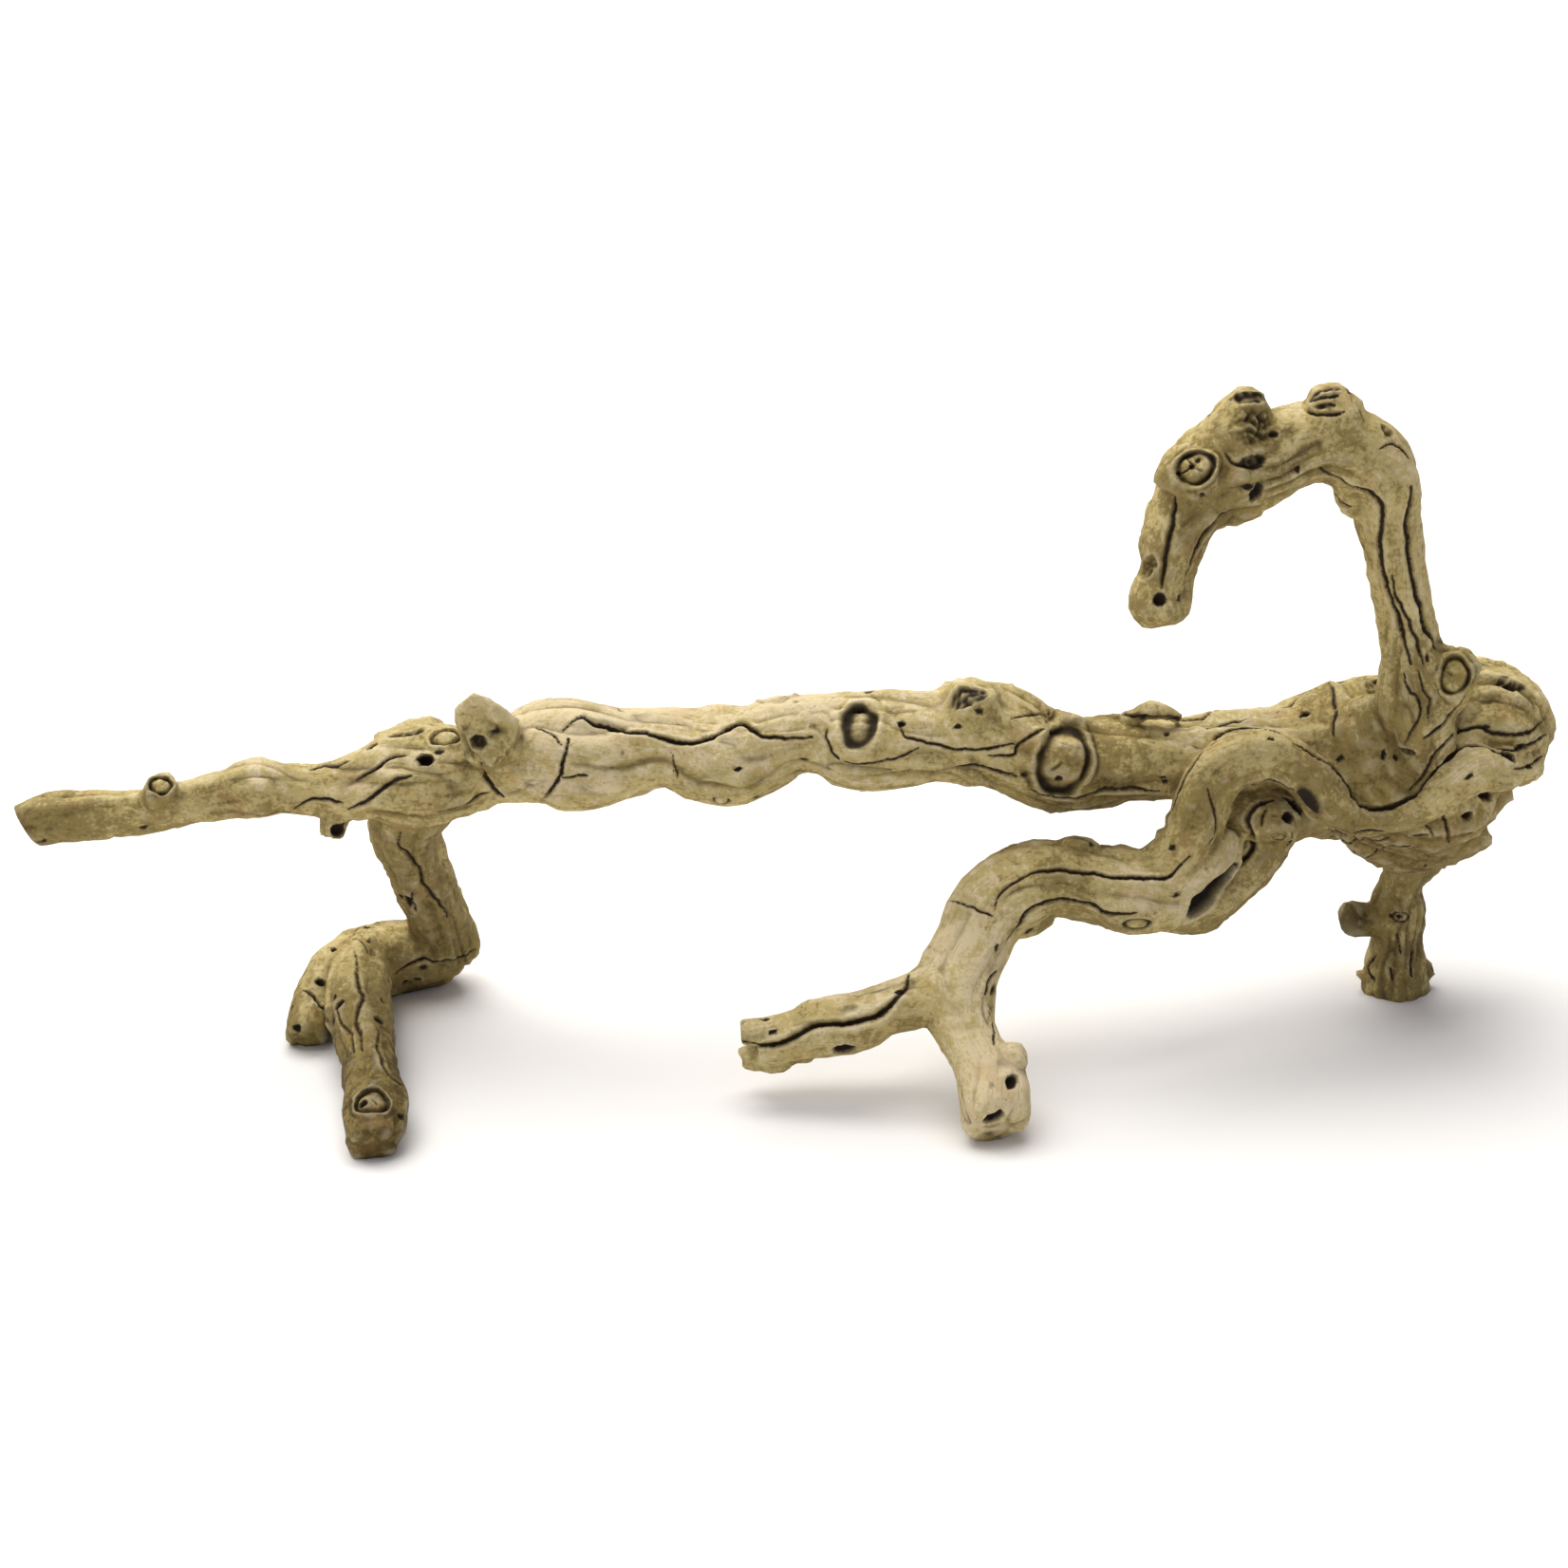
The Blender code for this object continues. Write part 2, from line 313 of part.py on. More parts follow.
# Knots and holes seen from the eye: (kind, across, up, half length, half width, turn in degrees).
KNOTS = [
    ("ringed", 30, 23.6, 9.9, 8.0, 86), ("ringed", 111.5, 9, 13.1, 10.7, 76),
    ("pit", 75, 38.5, 7.4, 3.4, 8), ("hole", 46.9, 23.8, 1.6, 1.2, 0),
    ("hole", 109.1, 2.1, 1.6, 1.5, 0), ("hole", 30, 29.9, 2.2, 1.3, 0),
    ("hole", 151.3, 2.4, 1.0, 0.9, 0), ("pit", 106.4, 20.3, 2.6, 1.2, 40),
    ("ringed", -24.8, -5.9, 3.5, 3.0, 0), ("hole", -18.3, 5.9, 1.9, 0.9, 10),
    ("pit", -121.8, 16.6, 3.5, 3.1, 0), ("ringed", -134.7, 18.3, 6.4, 4.3, 28),
    ("hole", -142.4, 9.8, 3.1, 2.4, 0), ("hole", -163.5, 14, 2.6, 1.7, 40),
    ("pit", -150.5, 20.3, 7.8, 3.1, 15), ("hole", -177.6, -18.6, 2.9, 2.9, 0),
    ("ringed", -248.2, -0.8, 4.4, 3.8, 0), ("hole", -167.7, -127.4, 1.8, 1.8, 0),
    ("ringed", -164.2, -126.1, 7.0, 6.0, 0),
    ("hole", -176.3, -88.5, 2.6, 2.0, 90), ("hole", -159.3, -86, 1.8, 1.7, 0),
    ("hole", -161.2, -94.2, 2.1, 1.8, 0), ("hole", -184.8, -79.5, 2.1, 1.8, 0),
    ("hole", -194.3, -97.1, 2.0, 1.6, 0), ("hole", -145.9, -77.9, 1.6, 1.3, 0),
    ("hole", -179.4, -65.8, 1.4, 1.3, 0), ("hole", -149.2, -46, 5.5, 1.8, 88),
    ("pit", -143.3, 9.4, 3.4, 2.6, 0), ("hole", -152.6, -132.6, 1.8, 1.2, 60),
    ("ringed", 140.5, -55.6, 5.5, 3.5, -8), ("hole", 24.2, -105.6, 4.4, 2.6, 5),
    ("hole", 90.8, -118.4, 3.8, 2.5, 70), ("hole", 83.5, -132.9, 4.4, 2.6, 35),
    ("hollow", 170.4, -43.5, 11.9, 4.7, 38), ("pit", 83.5, -82.1, 3.2, 1.7, 60),
    ("hole", 253.5, -20.4, 3.2, 1.7, 25), ("hole", 272.1, -12.5, 2.2, 2.2, 0),
    ("hollow", 279.6, -4.5, 4.5, 2.4, -42), ("hole", 274.8, -19, 2.4, 1.7, 80),
    ("hole", 201, -13.2, 2.8, 2.4, 0), ("hollow", 204.6, -9.3, 7.1, 1.9, -42),
    ("hole", 207.3, 27.6, 2.6, 1.4, 25), ("pit", 248.3, 13.1, 3.7, 1.7, 20),
    ("hole", 238.6, 11.8, 2.4, 1.0, 90), ("rough", 235.3, 37.4, 5.6, 3.7, 80),
    ("ringed", 266.9, 42.8, 7.8, 5.8, 82), ("pit", 279.1, 47.5, 2.4, 1.0, 0),
    ("pit", 290.6, 38.4, 5.0, 1.9, 12), ("hollow", 288.5, 10.6, 3.9, 1.9, -20),
    ("ringed", 197, -21.2, 2.6, 2.4, 0), ("pit", 286.1, 40.8, 3.2, 1.5, 50),
    ("hole", 255.3, -32.8, 0.9, 0.9, 0), ("ringed", 163.6, 125.6, 8.7, 7.6, 20),
    ("rough", 187.9, 142.3, 8.7, 7.2, 20), ("pit", 186.7, 128.4, 5.7, 2.3, 10),
    ("hole", 188.1, 116.1, 4.0, 2.5, 80), ("hole", 168, 146.9, 4.5, 1.6, 45),
    ("pit", 184.8, 154.2, 7.0, 2.5, 5), ("pit", 215.6, 156.5, 5.9, 1.9, 5),
    ("pit", 215.6, 150.4, 3.8, 1.1, 5), ("hole", 162.6, 126.1, 1.2, 1.1, 0),
    ("hole", 157.2, 123.6, 1.2, 1.0, 0), ("hole", 149.5, 73.3, 2.8, 2.5, 60),
    ("hole", 194.9, 139.3, 1.7, 1.3, 0), ("pit", 157.9, 74.1, 1.7, 1.3, 0),
    ("ringed", 245.5, -53.1, 3.5, 2.7, 0), ("hole", 244.9, -52.8, 1.5, 1.2, 0),
]

# Knots on the other sides: (kind, limb, share of its length, angle, half length, half width).
LIMB_KNOTS = [
    ("ringed", "trunk", 0.22, 188, 10.5, 8.6), ("ringed", "trunk", 0.46, 232, 8.4, 7.2),
    ("ringed", "trunk", 0.72, 204, 11.5, 9.4), ("hole", "trunk", 0.60, 168, 3.2, 2.8),
    ("ringed", "neck", 0.40, 178, 7.0, 6.0), ("ringed", "neck", 0.74, 196, 7.6, 7.0),
    ("hole", "neck", 0.22, 200, 3.0, 2.6), ("ringed", "middle_leg", 0.34, 204, 7.4, 6.2),
    ("hole", "middle_leg", 0.66, 176, 3.0, 2.6), ("ringed", "thin_arm", 0.62, 196, 5.4, 4.6),
    ("ringed", "left_shank", 0.40, 182, 5.2, 4.6), ("ringed", "hub", 0.50, 174, 13.0, 11.0),
    ("pit", "hub", 0.66, 240, 6.0, 5.0), ("hole", "hub", 0.36, 214, 4.0, 3.4),
    ("ringed", "front_toe", 0.46, 180, 5.0, 4.4), ("ringed", "trunk", 0.36, 96, 6.4, 4.6),
]


def place(across, up, depth):
    """The point on the line of sight through a place on the board, at a depth, and its scale."""
    on_board = BOARD_CENTRE + BOARD_ACROSS * (across * MM) + BOARD_UP * (up * MM)
    sight = on_board - EYE
    scale = (BOARD_CENTRE.y + depth * MM - EYE.y) / sight.y
    return EYE + sight * scale, scale


def smooth_curve(rows, step):
    """Points every step along a smooth curve through the rows. The first columns are the place."""
    knots = np.array([rows[0], *rows, rows[-1]], float)
    places = min(3, knots.shape[1])
    made = []
    for before, start, end, after in zip(knots, knots[1:], knots[2:], knots[3:]):
        steps = max(2, round(float(np.linalg.norm((end - start)[:places])) / step))
        for t in np.arange(steps) / steps:
            made.append(
                0.5 * (2 * start + (end - before) * t
                       + (2 * before - 5 * start + 4 * end - after) * t**2
                       + (3 * start - before - 3 * end + after) * t**3)
            )
    made.append(knots[-1])
    return np.array(made)


class Limb:
    """A limb's centre line, with a frame at each sample that turns as little as it can."""

    def __init__(self, stations):
        rows = []
        for across, up, depth, radius in stations:
            point, scale = place(across, up, depth)
            rows.append((*point, radius * MM * scale))
        samples = smooth_curve(rows, SAMPLE_STEP)
        self.points, self.radii = samples[:, :3], samples[:, 3]
        self.tangents = np.gradient(self.points, axis=0)
        self.tangents /= np.linalg.norm(self.tangents, axis=1)[:, None]
        gaps = np.linalg.norm(np.diff(self.points, axis=0), axis=1)
        self.along = np.concatenate([[0.0], np.cumsum(gaps)])
        facing = -np.array(LOOK)
        fronts = []
        for tangent in self.tangents:
            facing = facing - tangent * (facing @ tangent)
            facing /= np.linalg.norm(facing)
            fronts.append(facing)
        self.fronts = np.array(fronts)
        self.uppers = np.cross(self.fronts, self.tangents)

    def surface_place(self, tree, share, degrees):
        """Where a line from the centre, at this angle, leaves the wood, and the surface there."""
        where = share * (len(self.points) - 1)
        i = min(len(self.points) - 2, int(where))
        t = where - i
        centre = Vector(self.points[i] * (1 - t) + self.points[i + 1] * t)
        angle = math.radians(degrees)
        out = self.fronts[i] * math.cos(angle) + self.uppers[i] * math.sin(angle)
        point, normal, _, _ = tree.ray_cast(centre, Vector(out))
        return point, normal, Vector(self.tangents[i])


def collection_named(name):
    made = bpy.data.collections.new(name)
    bpy.context.scene.collection.children.link(made)
    return made


def limb_mesh(name, limb):
    """A closed tube along the limb, made from a curve."""
    curve = bpy.data.curves.new(name, "CURVE")
    curve.dimensions = "3D"
    curve.bevel_depth = 1.0
    curve.bevel_resolution = 5
    curve.use_fill_caps = True
    spline = curve.splines.new("POLY")
    spline.points.add(len(limb.points) - 1)
    for point, place_on_limb, radius in zip(spline.points, limb.points, limb.radii):
        point.co = (*place_on_limb, 1)
        point.radius = radius
    guide = bpy.data.objects.new(name, curve)
    bpy.context.scene.collection.objects.link(guide)
    graph = bpy.context.evaluated_depsgraph_get()
    mesh = bpy.data.meshes.new_from_object(guide.evaluated_get(graph))
    bpy.data.objects.remove(guide)
    return mesh


def add_blunt_end(body, front, back, share, corners):
    """Adds a flat outline that faces the eye and is drawn back into the wood."""
    middle = np.mean(corners, axis=0)
    start, end = place(*middle, front)[0], place(*middle, back)[0]
    face = [place(*corner, front)[0] for corner in corners]
    near = [body.verts.new(point) for point in face]
    far = [body.verts.new(end + (point - start) * share) for point in face]
    faces = [body.faces.new(near), body.faces.new(far)]
    for i in range(len(corners)):
        faces.append(body.faces.new((near[i - 1], near[i], far[i], far[i - 1])))
    bmesh.ops.recalc_face_normals(body, faces=faces)


def apply_modifiers(obj):
    graph = bpy.context.evaluated_depsgraph_get()
    mesh = bpy.data.meshes.new_from_object(obj.evaluated_get(graph))
    obj.modifiers.clear()
    obj.data = mesh


def fuse(wood, cell, relaxing):
    """Keeps only the outside of the wood, with an even skin."""
    remesh = wood.modifiers.new("fuse", "REMESH")
    remesh.mode = "VOXEL"
    remesh.voxel_size = cell
    relax = wood.modifiers.new("relax", "SMOOTH")
    relax.factor = 0.5
    relax.iterations = relaxing
    apply_modifiers(wood)


def fused_limbs(limbs):
    """All limbs as one body: the tubes overlap, and a voxel remesh keeps only their outside."""
    joined = bmesh.new()
    for name, limb in limbs.items():
        tube = limb_mesh(name, limb)
        joined.from_mesh(tube)
        bpy.data.meshes.remove(tube)
    for shape in BLUNT_ENDS.values():
        add_blunt_end(joined, *shape)
    bmesh.ops.remove_doubles(joined, verts=joined.verts, dist=0.00001)
    mesh = bpy.data.meshes.new("driftwood")
    joined.to_mesh(mesh)
    joined.free()
    wood = bpy.data.objects.new("driftwood", mesh)
    collection_named("grapevine_driftwood").objects.link(wood)
    fuse(wood, CELL, 22)
    return wood


def vertex_rows(mesh, what):
    rows = np.empty(len(mesh.vertices) * 3, np.float32)
    mesh.vertices.foreach_get(what, rows)
    return rows.reshape(-1, 3).astype(float)


def grain_relief(points, limbs):
    """How far the flutes and lobes along the grain lift each point. Limbs blend where they meet."""
    lift = np.zeros(len(points))
    weights = np.zeros(len(points))
    for order, limb in enumerate(limbs.values()):
        reach = limb.radii.max() * 1.6
        near = np.flatnonzero(
            ((points > limb.points.min(0) - reach) & (points < limb.points.max(0) + reach)).all(1)
        )
        for chunk in np.array_split(near, max(1, len(near) // 8000)):
            gaps = np.linalg.norm(points[chunk, None, :] - limb.points[None], axis=2)
            nearest = (gaps / limb.radii[None]).argmin(1)
            off = points[chunk] - limb.points[nearest]
            radius = limb.radii[nearest]
            share = np.linalg.norm(off, axis=1) / radius
            weight = np.exp(-7 * np.clip(share - 1, 0, None)) * (share < 1.6)
            along = limb.along[nearest] + (off * limb.tangents[nearest]).sum(1)
            front = (off * limb.fronts[nearest]).sum(1)
            upper = (off * limb.uppers[nearest]).sum(1)
            turn = along * TWIST
            a = front * np.cos(turn) - upper * np.sin(turn)
            b = front * np.sin(turn) + upper * np.cos(turn)
            for i, w, s, u, v, r in zip(chunk, weight, along, a, b, radius):
                if w < 0.03:
                    continue
                place_in_grain = Vector((s / FLUTE_LENGTH + 7 * order, u / FLUTE_WIDTH, v / FLUTE_WIDTH))
                flute = 2 * abs(noise.noise(place_in_grain)) ** 0.8 - 0.45
                lift[i] += w * flute * min(r, 24 * MM) * FLUTE_SHARE * 1.6
                weights[i] += w
    return lift / np.maximum(weights, 0.3)


def lumps(points):
    heights = [noise.noise(Vector(p) / LUMP_SIZE) for p in points]
    return np.array(heights) * LUMP_HEIGHT


def crack_points(tree, limbs):
    """Rows of (place, depth, half width) along every crack, thinning out towards its ends."""
    rows = []

    def add(hits, depth, half_width):
        for i, hit in enumerate(hits):
            if hit is not None:
                end = min(i, len(hits) - 1 - i) / max(1, len(hits) - 1)
                fade = min(1.0, 0.25 + 5 * end)
                rows.append((*hit, CRACK_SHARE * depth * MM * fade,
                             CRACK_SHARE * half_width * MM * (0.6 + 0.4 * fade)))

    for order, (depth, half_width, line) in enumerate(CRACKS):
        hits = []
        for across, up in smooth_curve(line, MARK_STEP / MM):
            wander = 0.5 * noise.noise(Vector((across / 5, up / 5, order)))
            target, _ = place(across + wander, up + wander, 0)
            hits.append(tree.ray_cast(EYE, target - EYE)[0])
        add(hits, depth, half_width)
    for order, (name, start, end, first, last, depth, half_width) in enumerate(LIMB_CRACKS):
        limb = limbs[name]
        hits = []
        count = int((end - start) * limb.along[-1] / MARK_STEP)
        for t in np.linspace(0, 1, count):
            wander = 9 * noise.noise(Vector((t * count / 22, order, 0.5)))
            wander += 4 * noise.noise(Vector((t * count / 7, order, 3.5)))
            share = start + (end - start) * t
            hits.append(limb.surface_place(tree, share, first + (last - first) * t + wander)[0])
        add(hits, depth, half_width)
    return rows


def crack_relief(points, rows):
    """A groove with a V section, and a soft lip that swells along both its edges."""
    tree = kdtree.KDTree(len(rows))
    for i, row in enumerate(rows):
        tree.insert(row[:3], i)
    tree.balance()
    lift = np.zeros(len(points))
    for i, point in enumerate(points):
        _, nearest, gap = tree.find(point)
        if gap > 5 * MM:
            continue
        depth, half_width = rows[nearest][3:]
        lift[i] = -depth * max(0.0, 1 - gap / half_width) ** 0.8
        lift[i] += 0.28 * depth * math.exp(-(((gap - 2.0 * half_width) / (0.8 * half_width)) ** 2))
    return lift


def knot_profile(kind, reach, size, seed, place_on_face):
    """The height of a knot at a share of the way from its middle to its ring."""
    if kind == "ringed":
        groove = (0.7 + 0.11 * size / MM) * MM
        return (
            0.75 * groove * np.exp(-(((reach - 1.36) / 0.26) ** 2))
            - 2.3 * groove * np.exp(-(((reach - 0.86) / 0.2) ** 2))
            + 0.2 * groove * np.exp(-((reach / 0.5) ** 2))
        )
    if kind == "rough":
        bumps = np.array([noise.noise(Vector((*p, seed)) * 0.45) for p in place_on_face / MM])
        return (
            np.exp(-((reach / 0.9) ** 4)) * (bumps * 2.6 - 1.4) * MM
            + 1.0 * MM * np.exp(-(((reach - 1.2) / 0.22) ** 2))
        )
    depth = {"hole": 1.25, "pit": 0.7, "hollow": 1.6}[kind] * size
    return (
        -depth * np.clip(1 - reach**2, 0, None) ** 0.8
        + 0.16 * size * np.exp(-(((reach - 1.25) / 0.25) ** 2))
    )


def press_knots(points, normals, tree, limbs):
    """Moves the points round each knot in or out along the line that the knot faces."""
    found = []
    for kind, across, up, half_length, half_width, turn in KNOTS:
        target, _ = place(across, up, 0)
        point, normal, _, _ = tree.ray_cast(EYE, target - EYE)
        if point is not None:
            level = BOARD_ACROSS - normal * normal.dot(BOARD_ACROSS)
            along = Matrix.Rotation(math.radians(turn), 3, -LOOK) @ level.normalized()
            found.append((kind, point, normal, along, half_length, half_width))
    for kind, name, share, degrees, half_length, half_width in LIMB_KNOTS:
        point, normal, tangent = limbs[name].surface_place(tree, share, degrees)
        if point is not None:
            found.append((kind, point, normal, tangent, half_length, half_width))
    moved = points.copy()
    for seed, (kind, point, normal, along, half_length, half_width) in enumerate(found):
        facing = np.array(normal)
        along = np.array((along - normal * along.dot(normal)).normalized())
        across = np.cross(facing, along)
        off = points - np.array(point)
        near = np.linalg.norm(off, axis=1) < 2.3 * half_length * MM
        near &= normals @ facing > 0.1
        face = np.stack([off[near] @ along, off[near] @ across], 1)
        reach = np.hypot(face[:, 0] / (half_length * MM), face[:, 1] / (half_width * MM))
        height = knot_profile(kind, reach, half_width * MM, seed, face)
        height *= np.clip((normals[near] @ facing - 0.1) / 0.4, 0, 1)
        moved[near] += height[:, None] * facing
    return moved


def saw_ends(points, limbs):
    """Lays the points beyond each cut on the flat of the cut."""
    for name, end, cut_off, lean in SAWN_ENDS:
        limb = limbs[name]
        out = Vector(limb.tangents[end] * (-1 if end == 0 else 1))
        out = Matrix.Rotation(math.radians(lean), 3, LOOK) @ out
        off = points - (limb.points[end] - np.array(out) * cut_off * MM)
        beyond = off @ np.array(out)
        near = (beyond > 0) & (np.linalg.norm(off, axis=1) < 1.9 * limb.radii[end])
        points[near] -= beyond[near, None] * np.array(out) * 0.97


def carve(wood, limbs):
    """Gives the smooth body its flutes, lumps, cracks and knots. Returns where it is marked."""
    mesh = wood.data
    points, normals = vertex_rows(mesh, "co"), vertex_rows(mesh, "normal")
    smooth_body = BVHTree.FromPolygons(
        [Vector(p) for p in points], [tuple(p.vertices) for p in mesh.polygons]
    )
    cracks = crack_relief(points, crack_points(smooth_body, limbs))
    carved = press_knots(points, normals, smooth_body, limbs)
    marked = np.abs(cracks) + np.linalg.norm(carved - points, axis=1)
    carved += normals * (grain_relief(points, limbs) + lumps(points) + cracks)[:, None]
    saw_ends(carved, limbs)
    mesh.vertices.foreach_set("co", carved.astype(np.float32).ravel())
    mesh.update()
    return carved[marked > 0.7 * MM]


def thin_out(wood, marked):
    """Fewer, larger faces, most of all where the surface is plain."""
    tree = kdtree.KDTree(len(marked))
    for i, point in enumerate(marked):
        tree.insert(point, i)
    tree.balance()
    plain = wood.vertex_groups.new(name="plain")
    for vertex in wood.data.vertices:
        gap = tree.find(vertex.co)[2]
        plain.add([vertex.index], min(1.0, max(0.1, (gap - CELL) / CELL)), "REPLACE")
    count = sum(len(p.vertices) - 2 for p in wood.data.polygons)
    decimate = wood.modifiers.new("thin_out", "DECIMATE")
    decimate.ratio = TRIANGLES / count
    decimate.vertex_group = "plain"
    decimate.vertex_group_factor = KEEP_MARKS
    apply_modifiers(wood)


def flatten_feet(wood):
    """Cuts what reaches below the ground away, so that each foot stands on a small flat."""
    body = bmesh.new()
    body.from_mesh(wood.data)
    cut = bmesh.ops.bisect_plane(
        body, geom=[*body.verts, *body.edges, *body.faces], dist=1e-7,
        plane_co=(0, 0, 0), plane_no=(0, 0, 1), clear_inner=True,
    )
    rim = [e for e in cut["geom_cut"] if isinstance(e, bmesh.types.BMEdge)]
    bmesh.ops.holes_fill(body, edges=rim)
    bmesh.ops.triangulate(body, faces=body.faces)
    body.to_mesh(wood.data)
    body.free()


def wood_material():
    material = bpy.data.materials.new("sandblasted_grapewood")
    material.use_nodes = True
    shader = material.node_tree.nodes["Principled BSDF"]
    shader.inputs["Base Color"].default_value = (0.42, 0.33, 0.17, 1)
    shader.inputs["Roughness"].default_value = 0.8
    shader.inputs["Metallic"].default_value = 0.0
    return material


def main():
    for obj in list(bpy.data.objects):
        bpy.data.objects.remove(obj)
    limbs = {name: Limb(stations) for name, stations in LIMBS.items()}
    wood = fused_limbs(limbs)
    marked = carve(wood, limbs)
    fuse(wood, FINE_CELL, 1)
    thin_out(wood, marked)
    flatten_feet(wood)
    wood.data.materials.clear()
    wood.data.materials.append(wood_material())
    wood.data.shade_smooth()


main()
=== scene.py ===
import math

import bpy
import numpy as np
from mathutils import Matrix, Vector, kdtree
from mathutils.bvhtree import BVHTree


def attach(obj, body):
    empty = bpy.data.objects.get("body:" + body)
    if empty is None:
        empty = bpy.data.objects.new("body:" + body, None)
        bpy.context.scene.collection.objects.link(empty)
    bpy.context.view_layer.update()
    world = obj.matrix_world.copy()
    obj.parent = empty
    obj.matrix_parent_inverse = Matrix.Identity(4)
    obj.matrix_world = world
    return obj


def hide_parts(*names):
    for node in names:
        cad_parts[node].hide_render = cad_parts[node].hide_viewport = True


# A piece of sandblasted grapevine wood, standing on its branch ends.
# The limbs are drawn on a tilted board through the middle of the wood, in millimetres.

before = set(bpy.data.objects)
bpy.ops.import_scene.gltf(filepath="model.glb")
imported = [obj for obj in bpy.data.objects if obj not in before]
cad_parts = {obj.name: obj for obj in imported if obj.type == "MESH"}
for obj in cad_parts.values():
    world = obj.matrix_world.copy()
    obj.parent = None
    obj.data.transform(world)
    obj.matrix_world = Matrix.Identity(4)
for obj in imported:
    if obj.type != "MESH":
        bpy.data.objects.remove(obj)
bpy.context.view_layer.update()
mm = 0.001


# ---- small helpers

def hexColour(text):
    parts = [int(text[i:i + 2], 16) / 255 for i in (1, 3, 5)]
    return (*[p / 12.92 if p <= 0.04045 else ((p + 0.055) / 1.055) ** 2.4 for p in parts], 1)


def addNode(tree, kind, inputs={}, links={}, **settings):
    node = tree.nodes.new(kind)
    for name, value in settings.items():
        setattr(node, name, value)
    for name, value in inputs.items():
        node.inputs[name].default_value = value
    for name, socket in links.items():
        tree.links.new(socket, node.inputs[name])
    return node


def pickOnly(*objects):
    # selects these objects and no others, the first of them active
    if bpy.context.mode != "OBJECT":
        bpy.ops.object.mode_set(mode="OBJECT")
    bpy.ops.object.select_all(action="DESELECT")
    for obj in objects:
        obj.select_set(True)
        bpy.context.view_layer.objects.active = objects[0]


def applyModifier(obj, kind, **settings):
    pickOnly(obj)
    modifier = obj.modifiers.new(kind.lower(), kind)
    for name, value in settings.items():
        setattr(modifier, name, value)
    bpy.ops.object.modifier_apply(modifier=modifier.name)


def readRows(mesh, what):
    rows = np.empty(len(mesh.vertices) * 3, np.float32)
    mesh.vertices.foreach_get(what, rows)
    return rows.reshape(-1, 3).astype(float)


def softNoise(place):
    # smooth noise between about -1 and 1, one value for each row of place
    cell = np.floor(place).astype(np.int64)
    part = place - cell
    ease = part ** 3 * (part * (part * 6 - 15) + 10)
    total = np.zeros(len(place))
    for corner in np.ndindex(2, 2, 2):
        key = cell + corner
        mixed = (key[:, 0] * 73856093) ^ (key[:, 1] * 19349663) ^ (key[:, 2] * 83492791)
        mixed = ((mixed ^ (mixed >> 13)) * 1274126177) & 0x7fffffff
        mixed = ((mixed ^ (mixed >> 11)) * 668265263) & 0x3fffffff
        slope = np.stack([mixed & 1023, (mixed >> 10) & 1023, (mixed >> 20) & 1023], 1) / 511.5 - 1
        share = np.where(corner, ease, 1 - ease).prod(1)
        total += share * (slope * (part - corner)).sum(1)
    return total * 1.4


def smoothStep(low, high, value):
    t = np.clip((value - low) / (high - low), 0, 1)
    return t * t * (3 - 2 * t)


def ridge(off, width):
    # 1 where off is 0, falling away on both sides
    return np.exp(-((off / width) ** 2))


def nearestPlaces(places, points):
    # for each point, which of the places is nearest, and how far off it is
    tree = kdtree.KDTree(len(places))
    for i, where in enumerate(places):
        tree.insert(where, i)
    tree.balance()
    found = [tree.find(point)[1:] for point in points]
    return np.array([f[0] for f in found]), np.array([f[1] for f in found])


# ---- camera: above the ground in front of the wood, looking 24 degrees down

view = {
    "distance": 1500 * mm,
    "down": math.radians(24),
    "boardCentre": Vector((-2.3 * mm, 10.6 * mm, 114 * mm)),
    "frameWidth": 1652 * 0.378 * mm,  # 1652 pixels, each 0.378 mm on the board
    "sensor": 36,
}
look = Vector((0, math.cos(view["down"]), -math.sin(view["down"])))
boardUp = Vector((0, math.sin(view["down"]), math.cos(view["down"])))
boardAcross = Vector((1, 0, 0))
eye = view["boardCentre"] - look * view["distance"]
bpy.ops.object.camera_add(location=eye, rotation=(math.radians(90) - view["down"], 0, 0))
camera = bpy.context.object
camera.name = "photoCamera"
camera.data.sensor_width = view["sensor"]
camera.data.lens = view["sensor"] * view["distance"] / view["frameWidth"]
camera.data.clip_end = 50
bpy.context.scene.camera = camera
print("camera set")


# ---- the wood

